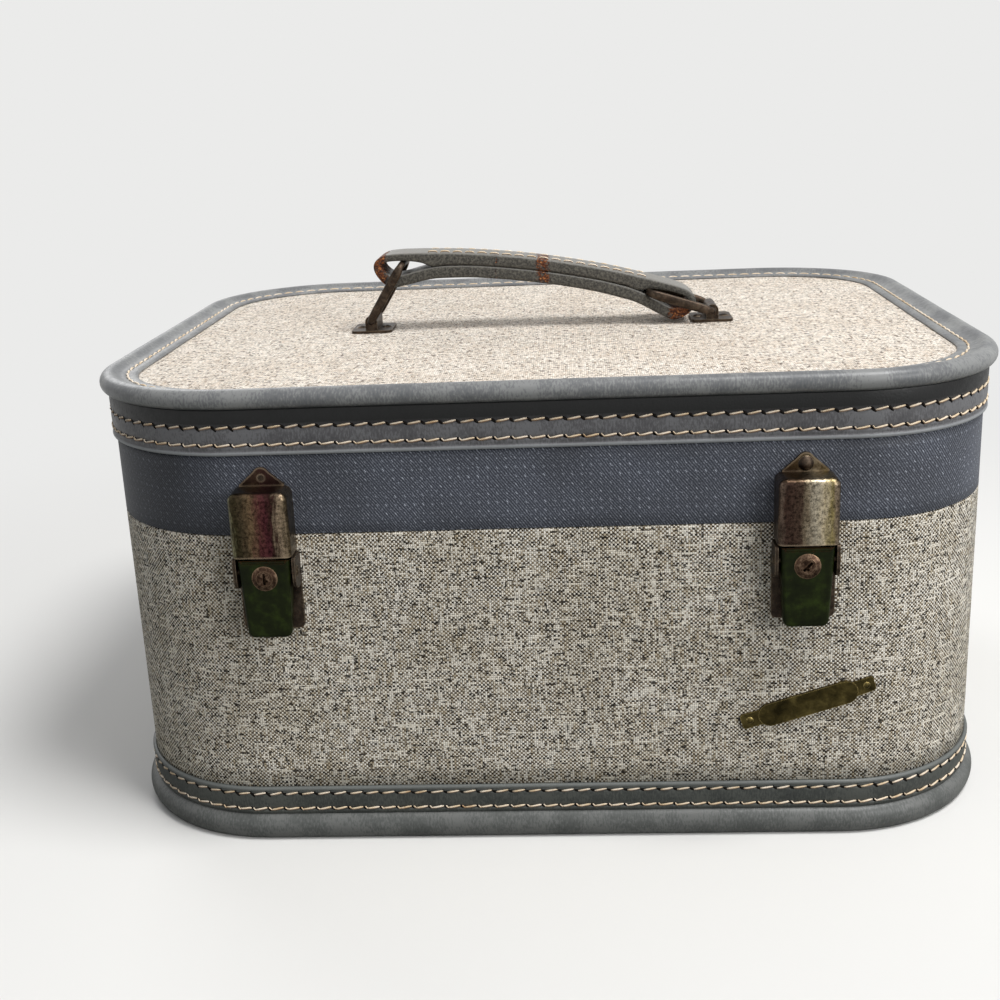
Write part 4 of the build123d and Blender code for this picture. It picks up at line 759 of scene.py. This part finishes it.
def bandFace(low, high, rows):
    # the padded vinyl band bulges between its stitch rows and dips along them
    steps, reach = trim["bandSteps"], trim["grooveReach"]
    heights = {low, high, *(low + (high - low) * k / steps for k in range(steps + 1)),
               *(r + d for r in rows for d in (-0.7, -0.35, 0.0, 0.35, 0.7))}
    edges = [low, *rows, high]
    face = []
    for h in sorted(heights):
        cells = [(a, b) for a, b in zip(edges, edges[1:]) if a <= h <= b]
        if not cells:
            continue
        share = (h - cells[0][0]) / max(1e-6, cells[0][1] - cells[0][0])
        lift = trim["puff"] * (1 - (2 * share - 1) ** 2)
        dip = trim["groove"] * max(0.0, 1 - min(abs(h - r) for r in rows) / reach)
        face.append((trim["bandOut"] + lift - dip, h))
    return face


def rollSection():
    # from the underside of the roll, round it, over the stitched strip and down its inner edge
    points = arc(trim["rollCentre"], (trim["rollRadius"], trim["rollRadius"]), -112, 128, 34)
    lastOut, lastHigh = points[-1]
    groove = [(trim["topRow"] + out, height) for out, height in trim["topGroove"]]
    return points + [(lastOut - 1.0, lastHigh - 0.72)] + trim["stripStart"] + groove + trim["stripEnd"]


def footSection():
    # the glued strip under the bottom, then round the cord up to the stitched band
    half = (trim["footHigh"] + 0.5) / 2
    middle = trim["footHigh"] - half
    landing = trim["footOut"] * sqrt(1 - (middle / half) ** 2)
    return (trim["footStrip"] + [(-landing, 0.0), (0.0, 0.0)]
            + arc((0, middle), (trim["footOut"], half), -degrees(asin(middle / half)), 90, 30)
            + [(trim["under"], trim["footHigh"]), (trim["under"], trim["footTuck"])])


def clothFace(low, high, steps):
    return [(0.0, low + (high - low) * k / steps) for k in range(steps + 1)]


under, bandLow, bandTop = trim["under"], trim["baseBandLow"], trim["lidBand"][1]
lidWelt = sweptTrim("lidRolledEdge", rollSection(), finish["rollVinyl"], wobble=0.10)
lidBand = sweptTrim("lidStitchedBand", arc(trim["lidBead"], trim["beadRadii"], -150, 40, 12)
                    + bandFace(*trim["lidBand"], trim["lidRows"]) + [(under, bandTop), (under, 156.0)],
                    finish["bandVinyl"], wobble=0.05)
sideCloth = sweptTrim("lidFiguredBand", trim["bandHem"] + clothFace(*trim["bandCloth"], 6)
                      + [(under, 155.8), (under, 125.5)], finish["bandCloth"])
wallCloth = sweptTrim("baseTweedWall", [(under, 21.0)] + clothFace(*trim["wallCloth"], 12)
                      + trim["wallHem"] + [(under, 123.9)], finish["wallTweed"])
baseBand = sweptTrim("baseStitchedBand", [(under, bandLow), (0.6, bandLow)]
                     + bandFace(*trim["baseBand"], trim["baseRows"])
                     + arc(trim["baseBead"], trim["beadRadii"], -55, 150, 13) + [(under, 20.9)],
                     finish["baseBandVinylPaintedShade"], wobble=0.05)
footRoll = sweptTrim("baseRolledEdge", footSection(), finish["footVinylPaintedShade"])


def topPanel():
    # flat cloth on the lid, tucked under the strip, with a little pull-up towards its edge
    rings, count = trim["top"], len(wall)
    vertices = [offWall(station, out, height) / 1000 for out, height in rings for station in wall]
    faces = [(a, d, c, b) for a, b, c, d in gridFaces(len(rings), count, closedAlong=False)]
    faces.append(tuple((len(rings) - 1) * count + i for i in range(count)))
    clothMap = [(vertices[k].x, vertices[k].y) for face in faces for k in face]
    return meshObject("lidTweedTop", vertices, faces, finish["topTweedPaintedLight"], clothMap, turnOutward=False)


topCloth = topPanel()
for piece, body, node, slotName in (
        (lidWelt, "lid", "lid_welt", "grey_vinyl"),
        (lidBand, "lid", "lid_binding", "grey_vinyl"),
        (sideCloth, "lid", "lid_side_covering", "blue_grey_cloth"),
        (topCloth, "lid", "lid_top_covering", "tweed_cloth"),
        (wallCloth, "base", "base_covering", "tweed_cloth"),
        (baseBand, "base", "base_binding", "grey_vinyl"),
        (footRoll, "base", "base_welt", "grey_vinyl")):
    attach(piece, body)
    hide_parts(node)
print("skins and trim")

# stitching: one lockstitch and the painted shadow of one needle hole, repeated along guides
stitch = {"pitch": 6.35, "bar": 5.0, "thread": 0.47, "slant": 11.0, "linkSlant": -52.0, "link": 1.7,
          "linkShift": 0.52, "holeLong": 1.75, "holeWide": 0.55, "holeSlant": -50.0, "holeSides": 10,
          "holeMiddle": 0.42, "holeEdge": 0.22, "holeShift": -0.05, "barSides": 6, "linkSides": 5,
          "jitter": 0.035, "above": 0.12}


def tubeAlong(name, points, sizes, sides, material):
    # thin tube through a few points, closed at both ends
    vertices = []
    for k, p in enumerate(points):
        ahead = (points[min(k + 1, len(points) - 1)] - points[max(k - 1, 0)]).normalized()
        sideways = ahead.cross(Vector((0, 0, 1))).normalized()
        lift = sideways.cross(ahead)
        for s in range(sides):
            a = 2 * pi * s / sides
            vertices.append(p + sideways * cos(a) * sizes[k] + lift * sin(a) * sizes[k])
    faces = [(a, d, c, b) for a, b, c, d in gridFaces(len(points), sides, closedAlong=False)]
    faces += [tuple(reversed(range(sides))), tuple((len(points) - 1) * sides + s for s in range(sides))]
    return meshObject(name, vertices, faces, material)


def stitchShape(name, look, material):
    # one lockstitch: a long slanting bar on the surface and the short thread down to the next needle hole
    half, slant = look["bar"] / 2, radians(look["slant"])
    profile = [(-1.0, -0.5), (-0.86, 0.12), (-0.5, 0.3), (0.0, 0.36), (0.5, 0.3), (0.86, 0.12), (1.0, -0.5)]
    bar = [Vector((half * t * cos(slant), half * t * sin(slant), z)) / 1000 for t, z in profile]
    sizes = [s * look["thread"] / 1000 for s in (0.55, 0.85, 1.0, 1.0, 1.0, 0.85, 0.55)]
    made = tubeAlong(name, bar, sizes, look["barSides"], material)
    if look["link"]:
        centre = Vector((look["pitch"] / 2 + look["linkShift"], 0, 0))
        half, tilt = look["link"] / 2, radians(look["linkSlant"])
        link = [(centre + Vector((half * t * cos(tilt), half * t * sin(tilt), z))) / 1000
                for t, z in [(-1.0, 0.25), (-0.3, 0.42), (0.4, 0.38), (1.0, 0.1)]]
        sizes = [s * look["thread"] / 1000 for s in (0.5, 0.62, 0.62, 0.4)]
        other = tubeAlong(name + "Link", link, sizes, look["linkSides"], material)
        joined = bmesh.new()
        joined.from_mesh(made.data)
        joined.from_mesh(other.data)
        joined.to_mesh(made.data)
        joined.free()
        bpy.data.objects.remove(other)
    return made


def holeShape(name, look, material):
    # the slot between two bars, where the needle pulled the thread into the vinyl, drawn as a near-black
    # sheet of painted shadow
    tilt, sides = radians(look["holeSlant"]), look["holeSides"]
    vertices = [Vector((0, 0, look["holeMiddle"]))]
    for k in range(sides):
        a = 2 * pi * k / sides
        x, y = look["holeLong"] * cos(a), look["holeWide"] * sin(a)
        along, across = x * cos(tilt) - y * sin(tilt), x * sin(tilt) + y * cos(tilt)
        vertices.append(Vector((along, across, look["holeEdge"])))
    centre = Vector((look["pitch"] / 2 + look["holeShift"], look["holeShift"], 0.0))
    faces = [(0, 1 + k, 1 + (k + 1) % sides) for k in range(sides)] + [tuple(range(sides, 0, -1))]
    return meshObject(name, [(v + centre) / 1000 for v in vertices], faces, material)


def repeatTree():
    # lays one shape at even steps along a guide whose points carry an outward direction
    tree = bpy.data.node_groups.new("stitchesAlongGuide", "GeometryNodeTree")
    tree.interface.new_socket(name="Geometry", in_out="OUTPUT", socket_type="NodeSocketGeometry")
    for socketName, kind in (("Geometry", "Geometry"), ("Pitch", "Float"), ("Turn jitter", "Float"),
                             ("Seed", "Int"), ("Shape", "Object"), ("Finish", "Material")):
        tree.interface.new_socket(name=socketName, in_out="INPUT", socket_type="NodeSocket" + kind)
    add = partial(addNode, tree)
    given = tree.nodes.new("NodeGroupInput").outputs
    curve = add("GeometryNodeMeshToCurve", {"Mesh": given["Geometry"]})
    spaced = add("GeometryNodeResampleCurve", {"Curve": curve, "Length": given["Pitch"]}, mode="LENGTH")
    shape = add("GeometryNodeObjectInfo", {"Object": given["Shape"]}, out=4)
    tangent = add("GeometryNodeInputTangent")
    outward = add("GeometryNodeInputNamedAttribute", {"Name": "outward"}, data_type="FLOAT_VECTOR")
    facing = add("FunctionNodeAxesToRotation", [tangent, outward], primary_axis="X", secondary_axis="Z")
    low = add("Math", [given["Turn jitter"], -1.0], "MULTIPLY")
    lowTurn = add("CombineXYZ", [0.0, 0.0, low])
    highTurn = add("CombineXYZ", [0.0, 0.0, given["Turn jitter"]])
    wander = add("FunctionNodeRandomValue", {0: lowTurn, 1: highTurn, "Seed": given["Seed"]},
                 data_type="FLOAT_VECTOR")
    wanderTurn = add("FunctionNodeEulerToRotation", [wander])
    turned = add("FunctionNodeRotateRotation", [facing, wanderTurn], rotation_space="LOCAL")
    placed = add("GeometryNodeInstanceOnPoints", {"Points": spaced, "Instance": shape, "Rotation": turned})
    solid = add("GeometryNodeRealizeInstances", [placed])
    coloured = add("GeometryNodeSetMaterial", {"Geometry": solid, "Material": given["Finish"]})
    tree.links.new(coloured, tree.nodes.new("NodeGroupOutput").inputs[0])
    return tree


stitchTree = repeatTree()
sockets = {s.name: s.identifier for s in stitchTree.interface.items_tree if s.in_out == "INPUT"}


def guideLine(name, points, outwards, closed):
    mesh = bpy.data.meshes.new(name)
    count = len(points)
    edges = [(k, (k + 1) % count) for k in range(count if closed else count - 1)]
    mesh.from_pydata([tuple(p) for p in points], edges, [])
    held = mesh.attributes.new("outward", "FLOAT_VECTOR", "POINT")
    held.data.foreach_set("vector", [c for o in outwards for c in o])
    return newObject(name, mesh)


def repeatAlong(name, guides, shapes, material, pitch, jitter, seed):
    # runs the tree on each guide with its shape and joins the results into one plain mesh
    joined = bmesh.new()
    for number, (guide, shape) in enumerate(zip(guides, shapes)):
        modifier = guide.modifiers.new("stitches", "NODES")
        modifier.node_group = stitchTree
        for socketName, value in (("Pitch", pitch / 1000), ("Turn jitter", jitter), ("Seed", seed + number),
                                  ("Shape", shape), ("Finish", material)):
            modifier[sockets[socketName]] = value
        guide.update_tag()
        bpy.context.view_layer.update()
        evaluated = guide.evaluated_get(bpy.context.evaluated_depsgraph_get())
        plain = bpy.data.meshes.new_from_object(evaluated)
        joined.from_mesh(plain)
        bpy.data.meshes.remove(plain)
        guide.modifiers.clear()
    mesh = bpy.data.meshes.new(name)
    joined.to_mesh(mesh)
    joined.free()
    mesh.materials.append(material)
    mesh.polygons.foreach_set("use_smooth", [True] * len(mesh.polygons))
    return newObject(name, mesh)


def ringGuide(name, out, height, flatUp=False):
    points = [offWall(station, out, height) / 1000 for station in wall]
    outwards = [(0, 0, 1) if flatUp else (o.x, o.y, 0) for _, _, o in wall]
    return guideLine(name, points, outwards, True)


thread, hole = finish["thread"], finish["needleHoleShadow"]
onBand = trim["bandOut"] - trim["groove"] + stitch["above"]
oneStitch = stitchShape("oneStitch", stitch, thread)
plainStitch = stitchShape("onePlainStitch", dict(stitch, link=0.0), thread)
oneHole = holeShape("oneNeedleHole", stitch, hole)
topStitch = stitchShape("oneTopStitch", dict(stitch, slant=4.0, link=0.0), thread)
lidGuides = [ringGuide("lidRow%d" % k, onBand, h) for k, h in enumerate(trim["lidRows"])]
baseGuides = [ringGuide("baseRow%d" % k, onBand, h) for k, h in enumerate(trim["baseRows"])]
topGuides = [ringGuide("topRow", trim["topRow"], trim["topRowHigh"], flatUp=True)]
bandShapes, holeShapes = [oneStitch, plainStitch], [oneHole, oneHole]
for pieceName, body, guides, shapes, material, jitter, seed in (
        ("lidBandStitches", "lid", lidGuides, bandShapes, thread, stitch["jitter"], 3),
        ("lidBandNeedleHoles", "lid", lidGuides, holeShapes, hole, 0.0, 3),
        ("lidTopStitches", "lid", topGuides, [topStitch], thread, stitch["jitter"], 5),
        ("baseBandStitches", "base", baseGuides, bandShapes, thread, stitch["jitter"], 9),
        ("baseBandNeedleHoles", "base", baseGuides, holeShapes, hole, 0.0, 9)):
    piece = repeatAlong(pieceName, guides, shapes, material, stitch["pitch"], jitter, seed)
    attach(piece, body)
for guide in lidGuides + baseGuides + topGuides:
    bpy.data.objects.remove(guide)
print("stitching")

# handle: "line" runs round the right half of the strap as (along, up, thickness)
handle = {"centre": (-2.5, 203.5), "tilt": 8.5, "width": 20.0, "crown": 3.3, "fall": 800.0, "bulge": 1.1,
          "bend": 1.1, "bendShare": 0.55, "girth": 0.05, "splineSteps": 6, "stitchY": 7.9, "pitch": 5.2,
          "jitter": 0.05, "rowEnd": 46, "rowSteps": 24,
          "line": [(0, 0.8, 5.0), (15, 0.5, 5.0), (30, -0.35, 5.1), (40, -1.35, 5.3), (45.5, -2.3, 5.9),
                   (50, -2.05, 4.5), (55, -2.3, 3.6), (61, -3.0, 3.2), (66.5, -4.4, 3.0), (69.5, -7.4, 3.2),
                   (67.8, -11.0, 3.8), (63, -13.8, 4.8), (57.5, -12.6, 4.6), (51, -10.0, 4.8),
                   (45.5, -8.1, 5.0), (40, -6.9, 5.3), (28, -5.35, 5.2), (14, -4.55, 5.1), (0, -4.3, 5.1)]}


def handleFrame(u, across, w):
    # handle's own frame to the case's: turned by its tilt about Y, then moved to its centre
    t = radians(handle["tilt"])
    return Vector((handle["centre"][0] + u * cos(t) + w * sin(t), across + case["back"],
                   handle["centre"][1] - u * sin(t) + w * cos(t))) / 1000


def closedSpline(points, steps):
    # smooth closed curve through the points
    count = len(points)
    result = []
    for k in range(count):
        p0, p1, p2, p3 = (Vector(points[(k + d) % count]) for d in (-1, 0, 1, 2))
        for s in range(steps):
            t = s / steps
            result.append(0.5 * ((2 * p1) + (p2 - p0) * t + (2 * p0 - 5 * p1 + 4 * p2 - p3) * t * t
                                 + (3 * p1 - p0 - 3 * p2 + p3) * t ** 3))
    return result


def strapLoop():
    # one leather strip folded round both bails and sewn to itself between them
    right = handle["line"]
    left = [(-u, w, t) for u, w, t in reversed(right[1:-1])]
    loop = closedSpline(right + left, handle["splineSteps"])
    half = handle["width"] / 2
    section = [(cornerY, cornerN, radians(start + 22.5 * k))
               for cornerY, cornerN, start in ((1, 1, 0), (-1, 1, 90), (-1, -1, 180), (1, -1, 270))
               for k in range(5)]
    vertices = []
    for k, p in enumerate(loop):
        ahead = loop[(k + 1) % len(loop)] - loop[k - 1]
        direction = Vector((ahead.x, ahead.y)).normalized()
        thick = p.z / 2
        bend = min(handle["bend"], thick * handle["bendShare"])
        for cornerY, cornerN, a in section:
            y = cornerY * (half - bend) + cos(a) * bend
            n = cornerN * (thick - bend) + sin(a) * bend
            if n > 0:
                n += handle["bulge"] * (1 - (y / half) ** 2)
            vertices.append(handleFrame(p.x - direction.y * n, y, p.y + direction.x * n))
    rows, girth = len(section), handle["girth"]
    mapAcross = [(s / rows * girth, (s + 1) / rows * girth) for s in range(rows)]
    made = meshObject("handleStrap", vertices, gridFaces(len(loop), rows), finish["handleLeather"],
                      gridMap(spansRound(loop), mapAcross))
    smoother = made.modifiers.new("smooth", "SUBSURF")
    smoother.levels = smoother.render_levels = 1
    return made


strap = strapLoop()
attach(strap, "handle")
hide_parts("handle_strap")


def strapRow(name, across, proud):
    points, outwards = [], []
    for k in range(handle["rowSteps"] + 1):
        u = -handle["rowEnd"] + 2 * handle["rowEnd"] * k / handle["rowSteps"]
        top = handle["crown"] - u * u / handle["fall"] + proud
        points.append(handleFrame(u, across, top))
        outward = handleFrame(u + 2 * u / handle["fall"], across, top + 1) - points[-1]
        outwards.append(outward.normalized())
    return guideLine(name, points, outwards, False)


strapGuides = [strapRow("strapRowFront", -handle["stitchY"], 0.42),
               strapRow("strapRowRear", handle["stitchY"], -0.2)]
handleLook = dict(stitch, bar=4.0, slant=0.0, link=0.0, thread=0.36)
handleStitch = stitchShape("oneHandleStitch", handleLook, thread)
handleStitches = repeatAlong("handleStitches", strapGuides, [handleStitch] * 2, thread, handle["pitch"],
                             handle["jitter"], 21)
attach(handleStitches, "handle")

# flat-legged bails, each a closed bar through its mount and the strap's eye; "sides" holds the pivot's place,
# the lean in degrees and the direction of it
bail = {"half": 12.4, "length": 29.2, "corner": 3.2, "thick": 1.4, "wide": 2.05, "eyeThick": 1.5,
        "legFrom": 2.6, "legFade": 2.2, "endFade": 4.0, "pivotHigh": 181.5, "around": 14, "steps": 8,
        "squareness": 0.72, "sides": {"left": (-77.0, 58.2, 1), "right": (74.0, 18.0, -1)}}


def clamped(value):
    return max(0.0, min(1.0, value))


def squared(value):
    # pushes a cosine or sine outwards, so that the bar's section is between round and square
    return abs(value) ** bail["squareness"] * (1 if value > 0 else -1)


def bailRing(side):
    pivotX, lean, inward = bail["sides"][side]
    half, length, r, steps = bail["half"], bail["length"], bail["corner"], bail["steps"]
    corners = ((half - r, length - r), (r - half, length - r), (r - half, r), (half - r, r))
    arcs = [arc(corner, (r, r), 90 * k, 90 * k + 90, steps) for k, corner in enumerate(corners)]
    path = []
    for bend, nextBend in zip(arcs, arcs[1:] + arcs[:1]):
        (lastY, lastA), (nextY, nextA) = bend[-1], nextBend[0]
        path += bend + [(lastY + (nextY - lastY) * k / steps, lastA + (nextA - lastA) * k / steps)
                        for k in range(1, steps)]
    lean = radians(lean)
    alongDir = Vector((inward * cos(lean), 0, sin(lean)))
    normal = Vector((-inward * sin(lean), 0, cos(lean)))
    foot = Vector((pivotX, case["back"], bail["pivotHigh"]))
    vertices = []
    for k, (y, a) in enumerate(path):
        ahead = Vector(path[(k + 1) % len(path)]) - Vector(path[k - 1])
        ahead.normalize()
        # the two legs are flattened, wider across than the bar in the eye
        legShare = clamped((abs(y) - half + bail["legFrom"]) / bail["legFade"])
        legShare *= clamped(min(a, length - a) / bail["endFade"])
        wide = bail["thick"] + (bail["wide"] - bail["thick"]) * legShare
        if a > length - r and legShare < 0.5:
            wide = max(wide, bail["eyeThick"])
        for s in range(bail["around"]):
            angle = 2 * pi * s / bail["around"]
            within = squared(cos(angle)) * bail["thick"] * 0.97
            p = foot + alongDir * (a - ahead.x * within) + Vector((0, y + ahead.y * within, 0))
            vertices.append((p + normal * squared(sin(angle)) * wide) / 1000)
    faces = gridFaces(len(path), bail["around"])
    return meshObject(side + "BailBar", vertices, faces, finish["bronzedSteel"])


for side in bail["sides"]:
    ring = bailRing(side)
    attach(ring, side + "_bail")
    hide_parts(side + "_bail")
for leftover in strapGuides + [oneStitch, plainStitch, oneHole, topStitch, handleStitch]:
    bpy.data.objects.remove(leftover)
print("handle")

# gathered pocket on the rear wall
pocket = {"halfWidth": 102.0, "low": 30.0, "high": 96.0, "back": 131.1, "belly": 11.0, "gathers": 19,
          "columns": 150, "rows": 22, "cloth": 0.0006}


def pocketDepth(share, across):
    # how far the satin stands off the wall: slack low down, drawn in at the elastic hem
    full = sin(pi * min(1.0, (share * 0.86 + 0.06))) ** 0.8
    edge = min(1.0, (1 - abs(across)) / 0.07)
    uneven = 0.03 * noise.noise(Vector((across * 3, share * 2, 4)))
    fold = 0.5 + 0.5 * cos(pocket["gathers"] * 2 * pi * (across * 0.5 + uneven))
    tight = 0.35 + 0.65 * share
    return 1.0 + (pocket["belly"] - 3.0) * full * sqrt(max(0.0, edge)) + 1.5 * (fold - 0.3) * tight * edge


def gatheredPocket():
    vertices = []
    for i in range(pocket["columns"] + 1):
        across = 2 * i / pocket["columns"] - 1
        for j in range(pocket["rows"] + 1):
            share = j / pocket["rows"]
            z = pocket["low"] + (pocket["high"] - pocket["low"]) * share
            y = pocket["back"] + case["back"] - pocketDepth(share, across)
            vertices.append(Vector((across * pocket["halfWidth"], y, z)) / 1000)
    faces = gridFaces(pocket["columns"] + 1, pocket["rows"] + 1, closedAlong=False, closedAcross=False)
    clothMap = [(vertices[k].x, vertices[k].z) for face in faces for k in face]
    made = meshObject("gatheredPocket", vertices, faces, finish["pocketSatin"], clothMap, turnOutward=False)
    thickness = made.modifiers.new("cloth", "SOLIDIFY")
    thickness.thickness = pocket["cloth"]
    thickness.offset = -1
    return made


rearPocket = gatheredPocket()
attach(rearPocket, "base")
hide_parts("rear_pocket")
print("pocket")
